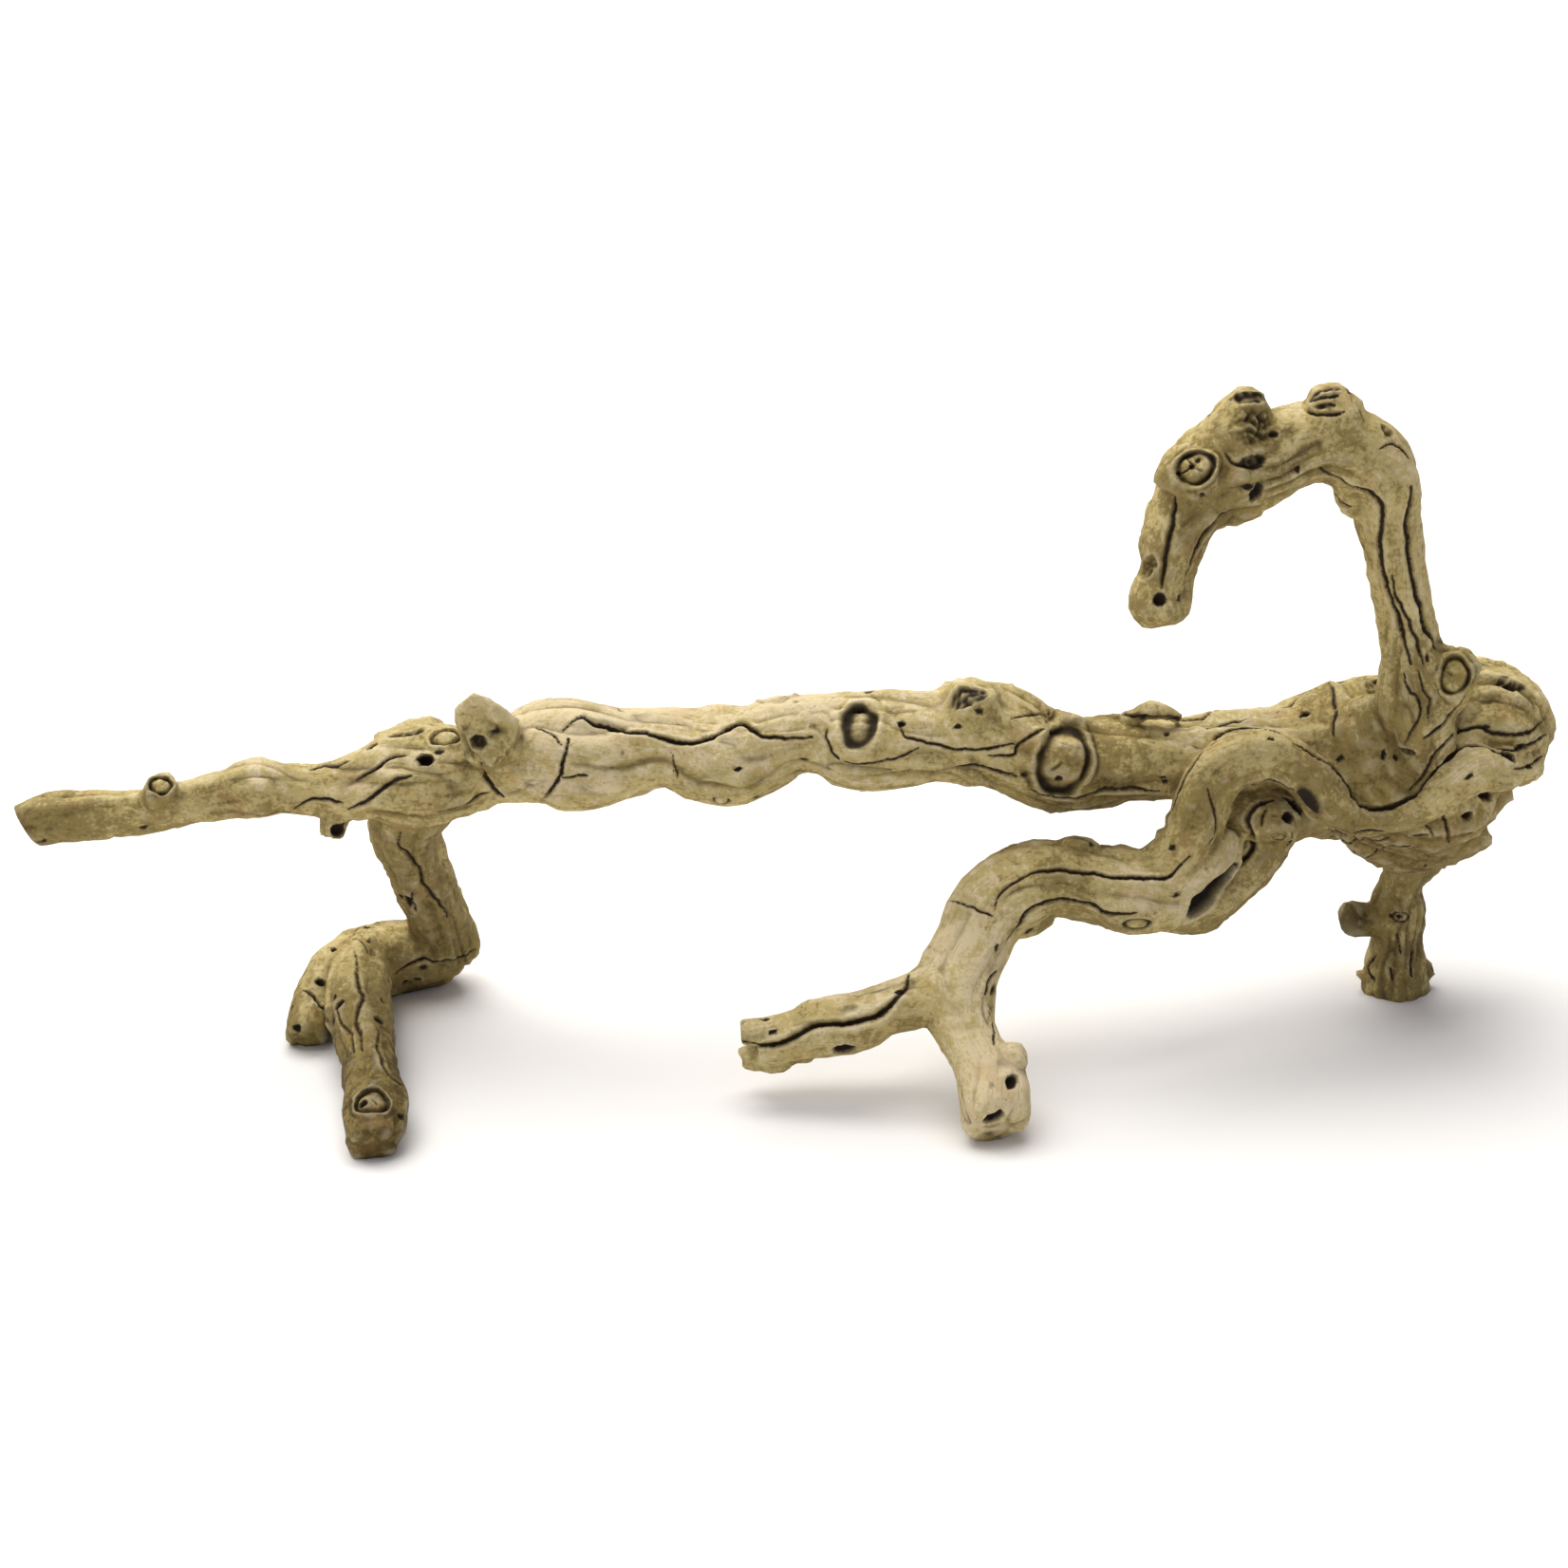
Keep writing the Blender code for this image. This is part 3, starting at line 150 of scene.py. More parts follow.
driftwood = {
    "cell": 0.72 * mm,  # voxel of the fused body
    "weld": 0.01 * mm,
    "relaxing": 36,  # rounds of smoothing after that
    "triangles": 194000,
    "keepMarks": 0.05,  # how much sooner a face away from cracks and knots is given up
    "sampleStep": 2.5 * mm,  # along a limb
    "markStep": 0.6 * mm,  # along a crack
    "limbReach": 1.6,  # radii from its centre line where a limb's grain ends
    "twist": 7.0,  # radians a metre that the grain winds round a limb
    "flute": (60, 10, 0.075),  # length and width in mm, and depth as a share of the radius
    "lump": (26, 0.9),  # size and height in mm
    "ribs": (34, 2.6, 0.2),  # fine ribs of the sandblasted grain: length, width, height
    "bands": (55, 5.5, 0.5),  # and broader ones
    "bumps": ((14, 0.8), (6, 0.55), (2.6, 0.34)),  # size and height of the uneven skin, roughest last
    "checks": (80, 7.5, 0.7),  # thin drying cracks: length, spacing, depth
    "checked": (90, 14),  # length and width of the stretches that have them
    "crackShare": (0.85, 0.68),  # of the listed depth and width that a crack has
    "crackLip": (0.28, 2.0, 0.8),  # height, distance and width, in depths and half widths of the crack
    "nubSpacing": 8 * mm,  # between the small bud scars along a limb
    "nubSize": (1.1, 2.4),  # of the smallest in mm, and how much more the largest has
    "nubShare": 0.6,  # the others are worm holes
    "wormHole": 1.1 * mm,
    "surroundings": (36, 120),  # rounds of smoothing for the near and the wide ones of a point
    "toneAndPaintedTopLight": (0.08, 0.28),  # how much darker all is, and how much paler what faces up: painted light from above
    "seed": 11,
}

# The centre line of each limb: (across, up, depth, radius) in mm, across and up on the board, depth
# level from it to the back.
limbStations = {
    "thinArm": [
        (-306, -17.2, -8, 8.6), (-299, -15.6, -8, 10), (-289, -13.9, -8, 10.6), (-274, -12, -8, 9.3),
        (-256, -10.5, -8, 8.8), (-237, -7, -7, 9), (-222, -4, -6, 10), (-209, -1, -5, 11.8),
        (-195, -2, -4, 10.4), (-180, -2.5, -3, 11.9), (-165, 0, -2, 15.2), (-150, 2.5, 0, 19.2),
        (-133, 5, 2, 18), (-116, 5, 3, 14.4),
    ],
    "trunk": [
        (-121, 5, 3, 13.5), (-108, 7.5, 3, 15.6), (-95, 12, 2, 21.4), (-82, 12, 1, 22),
        (-65, 12, 0, 19.2), (-48, 14.3, -1, 16), (-34, 11.5, -2, 18.2), (-21, 11, -3, 19.8),
        (-10, 14, -3, 18), (3, 19.5, -3, 15.8), (17, 20, -3, 16.4), (30, 17, -3, 19.6),
        (45, 18.5, -2, 18.6), (60, 19.5, -1, 17.2), (73, 20.5, 0, 20.2), (85, 18.5, 2, 19.6),
        (98, 12, 4, 18), (111, 8.4, 6, 18.8), (126, 8.4, 9, 16.4), (145, 9.2, 13, 15.6),
        (164, 10.2, 17, 17.2), (183, 11, 20, 18.8), (202, 11.8, 24, 21.4), (221, 14, 28, 27.2),
    ],
    "hub": [
        (213, 10, 30, 24.5), (228, 11.5, 32, 31.5), (243, 6, 34, 33.5), (257, 6, 36, 33.5),
        (271, 12, 38, 28.5), (284, 15, 40, 22),
    ],
    "cap": [(268, 21.4, 34, 27.2), (281, 23, 34, 26.2), (292.5, 17.4, 36, 20.4), (299, 15, 37, 14.6)],
    "keel": [
        (233, -9, 34, 18.5), (241.5, -12, 36, 21.5), (251, -13, 38, 22.5), (262, -11.4, 40, 21.6),
        (274, -6.4, 40, 19.6),
    ],
    "neck": [
        (256, 5, 8, 7.6), (255, 19, 8, 12.9), (251.5, 33, 8, 15), (250, 47.5, 9, 13.2),
        (248.4, 63, 10, 12), (245.4, 78, 10, 11.9), (243.2, 91, 10, 12), (241, 104, 9, 12.6),
        (238.8, 117.6, 8, 14.9), (233, 128, 6, 16.4), (219, 136, 2, 16.6), (204, 134.5, 0, 17.3),
        (191, 129, -3, 18.8), (177.5, 126, -5, 20.6), (168, 119.5, -8, 19), (161.6, 110, -12, 14.6),
        (157.2, 102, -15, 13.2), (154.2, 94, -18, 12.7), (152.4, 85, -21, 11), (149.6, 76, -23, 12.3),
        (149, 70, -25, 12.3), (149, 66, -26, 10.2), (149, 63.3, -26.5, 6),
    ],
    "roll": [
        (150, -37, -10, 13), (158, -28, -9, 12.4), (163, -19, -8, 11.6), (166, -8, -5, 12),
        (171, 3, -3, 11.3), (181, 10, -1, 10.6), (194, 11, 0, 10.2), (206, 5, 0, 9.8),
        (215, -5, 0, 8.7), (226, -13, 2, 6.8), (240, -14, 2, 6.2), (253, -10, 0, 7), (264, -2, -1, 8.7),
        (275, 6, 2, 9.1), (286, 6, 10, 8.3), (297, 7, 22, 6.8),
    ],
    "middleLeg": [
        (171, -18, 2, 13), (166, -28, -4, 15.6), (151, -41.5, -10, 16), (136, -43, -14, 17),
        (122, -40, -16, 15), (106, -37.5, -18, 15.2), (92.4, -41.8, -20, 16.8), (81.6, -50.4, -24, 16),
        (75.5, -63.5, -30, 15.2), (70, -75, -38, 16), (68.5, -84.5, -45, 16.2), (70.5, -95, -54, 13.6),
        (75, -105.5, -64, 11.8), (80.5, -115, -72, 12.7), (83.6, -125, -80, 14.2),
        (84, -133.4, -87, 13.6), (84.6, -136.4, -90, 11.2),
    ],
    "underArch": [
        (147, -44, -6, 14), (166, -45.5, 0, 13), (174, -39.6, 6, 12.8), (188, -25, 12, 12.6),
        (197, -14, 18, 12.4), (211, -7, 24, 12.9),
    ],
    "innerKnob": [(176, -10, 6, 8), (184, -12, 4, 9.5), (193, -13, 1, 10.5), (202, -14, 4, 9)],
    "splitTip": [
        (64, -82, -46, 14.4), (52, -86.6, -48, 11.6), (40, -90, -50, 10.6), (28, -95, -51, 12.8),
        (17, -96.6, -52, 12.3), (5, -100, -52, 10.2), (-6, -103, -52, 9.4), (-10, -103, -52, 8.6),
    ],
    "upperProng": [(10, -96.4, -53, 6.4), (-6, -98, -54, 5.8), (-17, -98.8, -54, 5)],
    "lowerProng": [(10, -104.4, -51, 6.2), (-6, -107.4, -51, 5.6), (-17, -109.2, -50, 4.8)],
    "rightFoot": [
        (252, -24, 42, 14.5), (246.8, -36, 45, 8.4), (244.5, -46, 47, 10.4), (243.8, -54, 48, 10.8),
        (244, -62, 48, 9.8), (243.4, -69, 47, 11.4), (243.4, -76, 46, 13.2), (243, -86, 45, 14),
    ],
    "rightBud": [
        (241, -55, 47, 6), (234, -54.4, 45, 6.6), (227.6, -53.4, 42, 7.2), (223.6, -52.8, 40, 7),
    ],
    "leftShank": [
        (-146, -2, 8, 17.5), (-150.5, -17, 14, 14.8), (-147.5, -28, 22, 12.6), (-143.8, -37, 29, 12),
        (-141.4, -44, 35, 12.3), (-138.2, -52, 41, 12.4), (-134.6, -60, 46, 12.5),
        (-132, -66, 50, 12.2),
    ],
    "heel": [
        (-131, -64, 50, 10.8), (-140, -67, 49, 13), (-153, -68, 46, 14.4), (-165, -70, 40, 14.4),
        (-175.5, -73.5, 31, 12.6), (-182.5, -80.5, 20, 10.8), (-187, -88.5, 8, 9.2),
        (-190, -96, -4, 8.2), (-191, -101.4, -10, 8),
    ],
    "frontToe": [
        (-164.5, -66, 38, 9.1), (-167.5, -70, 28, 10.6), (-169, -81, 8, 12.4), (-168.5, -92, -14, 12.8),
        (-166.5, -104, -36, 12), (-164.5, -117, -62, 11.4), (-163, -128, -81, 12.2),
        (-163.5, -134.5, -91, 12.4), (-164, -139.5, -97, 11.6), (-164, -143.5, -102, 9.2),
    ],
    "backStrand": [
        (104, 14, 12, 9), (130, 18, 22, 9.6), (158, 14, 32, 9.2), (184, 5, 40, 9.8), (208, 3, 50, 11.4),
        (232, 12, 62, 12.6), (254, 22, 66, 12), (272, 20, 60, 11),
    ],
    "lowStrand": [
        (196, -10, 38, 9), (214, -12, 50, 10.4), (234, -10, 61, 11.6), (254, -4, 66, 12.4),
        (274, 2, 60, 12), (288, 8, 50, 10),
    ],
    "rootRidge": [(240, -24, 50, 10.5), (256, -22, 56, 11), (272, -12, 54, 10.5)],
    "sawnStub": [(-110, 9, 4, 12.5), (-114, 15, -6, 12.5), (-118, 20, -16, 12)],
    "hipHump": [(-161, 9, 6, 11), (-150, 11, 10, 12.9), (-136, 16, 8, 12.2)],
    "armBud": [(-248.6, -7, -8, 8.5), (-248.4, -3.5, -13, 7.2), (-248.2, -0.4, -17, 6.4)],
    "hangingBud": [(-178, -12, -6, 5.7), (-180, -18, -8, 5.2), (-181, -21, -9, 4.2)],
    "topHump": [(74, 24, -4, 15), (75.5, 33, -6, 11.8), (77, 38.8, -6, 9.2)],
    "lowerHump": [(-23, 2, -6, 12.9), (-24, -6, -8, 7.6)],
    "flake": [(136, 24, 12, 2.4), (143, 28.6, 12, 3.2), (149, 29.4, 12, 3.6), (158, 25.5, 12, 2.2)],
    "eyeKnot": [(166, 120, -12, 11.3), (163, 124, -25, 10)],
    "crownKnot": [
        (177, 134, -6, 15.5), (181, 143, -6, 13.4), (184.5, 151, -6, 9.2), (185.5, 157, -6, 5.8),
    ],
    "bendKnot": [(219, 141, 0, 14.2), (218, 149, 0, 11.8), (216.8, 154, 0, 8.8), (216.4, 158, 0, 6.6)],
    "neckRootKnot": [(258, 36, 12, 13.5), (265, 44.5, 6, 11.5), (266, 46, 2, 10)],
    "footCorner": [(85, -112, -72, 8), (94.5, -107, -74, 4.8)],
    "brow": [(164, 130, -14, 9), (156.5, 123, -18, 8.6), (152.6, 117, -20, 6.8)],
    "jawFlake": [(175, 110, -12, 4.4), (180, 106.8, -13, 3.4), (189, 110, -11, 3)],
    "neckFlake": [(226.5, 118, 5, 8), (226.4, 112.6, 5, 5.4), (229, 107.6, 6, 3.6)],
    "hubFace": [(225, 31, 21, 13), (229, 21, 17, 15.5), (234, 10, 15, 16), (238, -1, 14, 13.5)],
    "upperStrand": [
        (250, -4, 9, 4.2), (257.5, 7, 9, 4.8), (267.5, 15, 10, 5), (278, 18.5, 12, 5),
        (289, 16.5, 17, 5), (299, 17.6, 24, 4.6),
    ],
    "kneeFlake": [(108, -25, -16, 2.4), (115, -23.6, -16, 3.2), (125, -25.6, -16, 2.4)],
    "kneeLump": [(91, -56, -25, 6), (98, -56.4, -23, 5), (106, -52.5, -20, 4.2)],
    "tipLump": [(-11, -109, -52, 5), (-4, -110.6, -52, 5.2), (4, -107.6, -52, 4)],
    "gillNub": [(276, -4, 30, 6), (281, -5, 27, 5), (284, -9, 26, 3.2)],
    "leftSplinter": [(237, -77, 46, 5), (231, -76, 44, 3.2), (227.6, -75.4, 43, 1.6)],
    "rightSplinter": [(250, -71, 47, 5), (255, -72.6, 48, 3.4), (259, -76.4, 48, 1.5)],
}
# Blunt many-sided ends: depth of the front face, depth of the back, size of the back as a share of
# the front, and the corners of the front.
bluntEnds = {
    "sawnStub": (-31, -4, 0.92, [
        (-132, 30.6), (-124, 37.2), (-114.5, 32), (-105.2, 25.4), (-105.8, 20.4), (-112, 8.6),
        (-117, 6.4), (-124.6, 14.6), (-130.6, 23.4),
    ]),
}
# Ends that were sawn or broken flat: limb, its first or last end, mm cut off, lean in degrees.
sawnEnds = [
    ("rightBud", -1, 1.5, -10), ("thinArm", 0, 5.0, -16),
]
# Cracks seen from the camera: depth, half width, and the line on the board.
frontCracks = [
    (3.2, 1.5, [(-88, 21.6), (-81.5, 25.4), (-75, 23.6), (-64.4, 20.9), (-55, 20.1), (-47.9, 17.7),
        (-39.6, 16), (-32.5, 16.9), (-24.2, 20.9), (-18.3, 23.5), (-12.4, 21.9), (-6.5, 18.6),
        (2.9, 18.3), (11.2, 18.6)]),
    (3, 1.4, [(-85.9, 17.7), (-86.8, 12.4), (-88.3, 6.5), (-89.4, 2.4), (-92.2, -1.7), (-95.7, -5.3)]),
    (2.2, 1.1, [(-88.3, 1.8), (-83.3, 3.2), (-78, 3.6)]),
    (1.2, 1, [(-98.7, 23.1), (-93.3, 19.8), (-88, 16)]),
    (1.4, 1, [(-79.8, 34.3), (-70.3, 31.9), (-63.2, 29)]),
    (0.9, 0.9, [(-44.3, 11.8), (-43.4, 7.1), (-42.2, 3)]),
    (2.8, 1.5, [(-120.9, 8.3), (-118.5, 3), (-115, -1.7), (-111.7, -5.3)]),
    (2, 1.2, [(-137.6, -10), (-128.2, -8.2), (-121.1, -4.7), (-117, -3.2)]),
    (2, 1.2, [(-194.8, -10.1), (-189.6, -6.9), (-183.1, -5.8), (-175.2, -6.9)]),
    (2.6, 1.5, [(-173.3, -9.5), (-164.8, -5.6), (-157.6, -0.3), (-153.1, 2.3), (-147.9, 3.6)]),
    (2.2, 1.3, [(-170, 2.3), (-163.5, 5.5), (-157, 10.1), (-150.5, 11.7)]),
    (1.2, 1, [(-188.3, 5.9), (-180.4, 6.4), (-172.6, 8.8)]),
    (2.4, 1.3, [(-152.4, -18.6), (-152.8, -23.8), (-149.2, -27.7), (-145.3, -34.2), (-143.3, -39.4),
        (-140, -43.4), (-137.4, -47.3), (-134.2, -52.5)]),
    (2, 1.2, [(-147.9, -42), (-146.6, -49.9)]),
    (2.2, 1.2, [(-154.4, -75.9), (-149.2, -71.4), (-142.6, -69.2), (-134.8, -70.1), (-128.3, -69.2),
        (-123.1, -66.2)]),
    (2.6, 1.4, [(-170.7, -66.8), (-170.3, -73.3), (-169, -81.2), (-167.7, -85.1), (-169.4, -90.3),
        (-170.7, -95.5), (-168.7, -100.7), (-168.5, -105.9)]),
    (1.8, 1.2, [(-176.5, -90.3), (-175.9, -95.5), (-172.6, -99.4), (-171.3, -107.2)]),
    (2.6, 1.3, [(-161.2, -97.4), (-161.5, -104.6), (-159.6, -112.4), (-155.7, -117.6),
        (-151.1, -122.9)]),
    (1.6, 1.1, [(-172, -61.6), (-168.1, -62.9), (-165.5, -66.8)]),
    (2.4, 1.3, [(-191.5, -82.5), (-187, -85.1), (-183.1, -90.3), (-181.1, -95.5)]),
    (1.6, 1, [(-171.3, -59.6), (-166.1, -55.7), (-158.3, -54.4)]),
    (1.8, 1.2, [(45.7, 24.3), (47.7, 19.3), (52.6, 17.8), (60.6, 15.8), (68.6, 13.8), (77.5, 13.3),
        (86.5, 14.8), (92.4, 15.8)]),
    (2.2, 1.3, [(81.5, 11.3), (88.5, 10.8), (92.4, 11.8), (93.9, 15.3), (97.4, 18.8), (102.4, 21.6)]),
    (2.2, 1.3, [(68.6, 7), (76.5, 6.6), (83.5, 5.8), (88.5, 4.4), (92.4, 2.4)]),
    (1.2, 1, [(23.8, 9.3), (30.8, 7.8), (38.7, 8.8), (47.7, 11.8), (53.6, 14.8)]),
    (1.8, 1.1, [(17.3, 21.8), (17, 17.8), (18.8, 12.8), (21.8, 9.8)]),
    (2, 1.2, [(98.4, -2.1), (105.4, -5.3), (113.3, -5.8), (120.3, -4.8), (127.2, -2.3), (137.2, -1.8),
        (145.2, -2.1), (150.1, -2.3)]),
    (1.4, 1, [(90.4, 26.2), (97.4, 26.9), (105.4, 27.2), (113.3, 26.9)]),
    (2.2, 1.2, [(131.2, 26.5), (141.2, 27.2), (152.1, 26.2), (160.1, 25.2)]),
    (2, 1.2, [(148.9, 27.6), (155.4, 26.6), (165.1, 25.5), (170.5, 27.6), (179.2, 31.1), (188.9, 30.3),
        (197.5, 30.3), (202.9, 31.8), (207.3, 34.1)]),
    (1.6, 1.1, [(168.4, 21.2), (173.8, 23.3), (180.3, 25.3), (186.7, 26.6)]),
    (1.8, 1.3, [(155.4, -10.2), (158.7, -1.5), (161.9, 5), (167.3, 13.6), (173.8, 18.5), (181.3, 21.2),
        (190, 21.7), (197.5, 20.1)]),
    (3.2, 1.6, [(202.9, 15.6), (209.4, 12.5), (214.8, 8.7), (219.1, 3.9), (223.5, -1), (226.7, -5.8),
        (231, -9.6), (237.5, -9.6), (244, -8.2), (250.5, -4.8), (255.9, 0.6), (261.3, 7.1),
        (267.7, 12.5), (275.3, 15.2), (281.8, 13.6), (286.1, 11.4)]),
    (2.2, 1.4, [(249.4, -2.1), (254.8, 3.9), (259.1, 11.4), (263.4, 16.8), (269.9, 21.2), (277.5, 22.5),
        (283.9, 20.3), (291.5, 19.9), (299.1, 22.2), (304.5, 26.6)]),
    (2, 1.4, [(283.9, 13.6), (290.4, 13.6), (296.9, 16.3), (303.9, 19.9)]),
    (1.8, 1.2, [(290.4, 6), (295.8, 7.1), (302.3, 11.4)]),
    (2.6, 1.4, [(271.5, 35.2), (266.7, 29.3), (261.3, 23.3), (254.8, 17.9)]),
    (1.8, 1.1, [(246.7, 43.8), (249.4, 37.4), (253.7, 32), (252.6, 25.5), (249.4, 20.1),
        (247.2, 15.8)]),
    (1.4, 1, [(252.6, 46), (254.2, 39.5), (256.9, 33), (256.9, 26.6)]),
    (1.4, 1.4, [(217.5, 40.6), (219.1, 34.1), (219.7, 26.6), (218.6, 19)]),
    (2.6, 1.4, [(186.2, -0.6), (189.4, 1.2), (193.2, 2.1), (197.5, 0.6), (202.4, -2.6)]),
    (1, 1.1, [(168.9, -1.5), (169.5, -5.8), (171.6, -12.3), (172.7, -18.8), (169.5, -24.2)]),
    (3.2, 1.8, [(194.8, -6.4), (190, -7.5), (186.2, -10.7), (184.6, -15.6), (186.7, -21),
        (186.2, -26.4), (182.4, -30.7), (178.1, -34.5), (174.9, -36.6)]),
    (2, 1.3, [(192.1, -10.2), (190.5, -13.4), (190, -16.6)]),
    (1.4, 1, [(201.9, -18.8), (202.4, -22), (199.7, -24.7)]),
    (1.8, 1.2, [(218.1, -18.3), (224.5, -19.3), (231, -18.8), (238.6, -18.6)]),
    (1.8, 1.1, [(222.4, -20.7), (227.8, -22), (234.3, -21.8), (240.7, -21.5)]),
    (2.2, 1.3, [(232.6, -27.4), (236.4, -25.8), (241.8, -24.4), (249.4, -24.2)]),
    (3, 1.4, [(262.1, -12.3), (263.6, -15.6), (264.3, -18.8), (265.4, -23.7)]),
    (1.6, 1.1, [(255.3, -16.6), (258, -18.8), (259.1, -22)]),
    (3, 1.6, [(213.2, 125.6), (219.8, 122.3), (224.5, 119.6), (228.3, 117.6), (233, 116.4),
        (236.8, 113.3), (238.2, 109.1), (237.8, 102.4), (237.8, 94.9), (238.7, 87.3), (239.7, 79.8),
        (241.1, 74.1), (243, 69.4), (245.8, 61.8), (247.7, 54.2), (249.6, 47.6)]),
    (3.2, 1.9, [(248.2, 118.5), (248.6, 111.9), (247.7, 104.3), (248.2, 96.8), (248.9, 89.2),
        (250.5, 81.6), (252.9, 72.2), (254.8, 64.6), (257.1, 58), (260, 53.8)]),
    (2, 1.2, [(217.4, 117.6), (221.7, 113.8), (225.5, 110.5)]),
    (2, 1.3, [(242.5, 83.5), (243.4, 76), (246.3, 69.4), (250, 61.8), (252.9, 53.3), (254.8, 47.6)]),
    (2.8, 1.5, [(156, 115.7), (155.4, 109.1), (154.8, 102.4), (153.2, 95.8), (151.6, 89.2),
        (150.8, 82.6), (150.3, 77.9)]),
    (2.4, 1.4, [(179.2, 108.9), (174.4, 107.9), (170.7, 104.3), (167.1, 99.6), (164.2, 93.9),
        (162.2, 88.3), (160.7, 83.1)]),
    (2, 1.3, [(175.4, 131.7), (179.2, 128), (184.8, 125.9), (190.5, 126.8)]),
    (2, 1.3, [(208.5, 147.3), (213.2, 146.7), (218.9, 146.9), (222.6, 147.8)]),
    (1.8, 1.2, [(211.3, 152.5), (215.1, 153.7), (220.8, 154.6)]),
    (1.6, 1.1, [(236.8, 133.6), (240.6, 134.8), (245.3, 132.2), (248.2, 129.7)]),
    (1.6, 0.8, [(160.5, 129.7), (162.6, 126.3)]),
    (1.4, 0.8, [(157.6, 123.2), (162.4, 125.9)]),
    (2.6, 1.4, [(93.7, -37.7), (99.5, -35.5), (106.8, -34.4), (115.5, -35.2), (124.2, -35.8),
        (131.5, -37.7), (138.8, -37.7), (147.5, -38.4), (153.3, -37), (157.7, -32.6), (162, -28.3)]),
    (2.4, 1.4, [(89.3, -62), (93.7, -55.9), (98, -50.1), (105.3, -47.2), (114, -46.4), (121.3, -47.9),
        (128.6, -50.8), (135.8, -51.5), (140.2, -50.8)]),
    (1.4, 1, [(83.5, -50.8), (85.7, -44.3), (90.8, -39.9), (95.1, -37.7)]),
    (1.2, 1, [(67.8, -47.2), (73.3, -48.6), (79.1, -50.8), (83.5, -52.7)]),
    (4.4, 1.9, [(-16.5, -102.1), (-12.4, -103.1), (-8.1, -104.6), (-0.8, -103.1), (6.5, -99.5),
        (13.7, -95.9), (22.4, -95.9), (29.7, -94.4), (37, -92.2), (42.8, -87.9), (47.9, -82.1),
        (49.3, -77)]),
    (3, 1.6, [(85, -74.8), (81.3, -79.1), (79.9, -83.5)]),
    (1.6, 1.1, [(80.6, -87.9), (82.8, -95.1), (83.5, -103.9)]),
    (1.8, 1.1, [(244.2, -59.7), (244.9, -63.5), (245.7, -67.3)]),
    (2.4, 1.3, [(250.6, -66.5), (249.5, -71.8), (250.6, -76.4)]),
    (2.2, 1.3, [(241.2, -73.3), (241.9, -78.6)]),
    (2, 1.2, [(235.1, -68.8), (232.8, -73.3), (234.4, -78.6)]),
]
# Cracks on the other sides: limb, from, to, angle at each end, depth, half width.
otherCracks = [
    ("trunk", 0.08, 0.42, 150, 176, 2.8, 1.6), ("trunk", 0.3, 0.62, 205, 188, 3, 1.7),
    ("trunk", 0.55, 0.93, 158, 182, 2.8, 1.6), ("trunk", 0.12, 0.5, 262, 248, 2.4, 1.5),
    ("trunk", 0.52, 0.8, 268, 252, 2.2, 1.4), ("trunk", 0.18, 0.36, 112, 104, 2, 1.4),
    ("thinArm", 0.1, 0.52, 175, 196, 1.8, 1.2), ("thinArm", 0.45, 0.88, 222, 205, 2.4, 1.4),
    ("neck", 0.12, 0.46, 168, 184, 2.8, 1.6), ("neck", 0.34, 0.66, 208, 196, 2.6, 1.5),
    ("neck", 0.62, 0.95, 172, 186, 2.2, 1.4), ("middleLeg", 0.16, 0.52, 176, 196, 2.6, 1.5),
    ("middleLeg", 0.5, 0.86, 214, 190, 2.4, 1.4), ("middleLeg", 0.2, 0.46, 262, 274, 2.2, 1.4),
    ("splitTip", 0.2, 0.98, 205, 184, 2.8, 1.5), ("leftShank", 0.2, 0.9, 172, 196, 2.2, 1.3),
    ("frontToe", 0.22, 0.8, 172, 188, 2, 1.3), ("heel", 0.15, 0.8, 170, 196, 2, 1.3),
    ("rightFoot", 0.3, 0.9, 176, 190, 2.2, 1.3), ("hub", 0.15, 0.85, 152, 166, 3, 1.8),
    ("hub", 0.2, 0.9, 192, 184, 3, 1.8), ("cap", 0.1, 0.9, 205, 222, 2.6, 1.6),
]
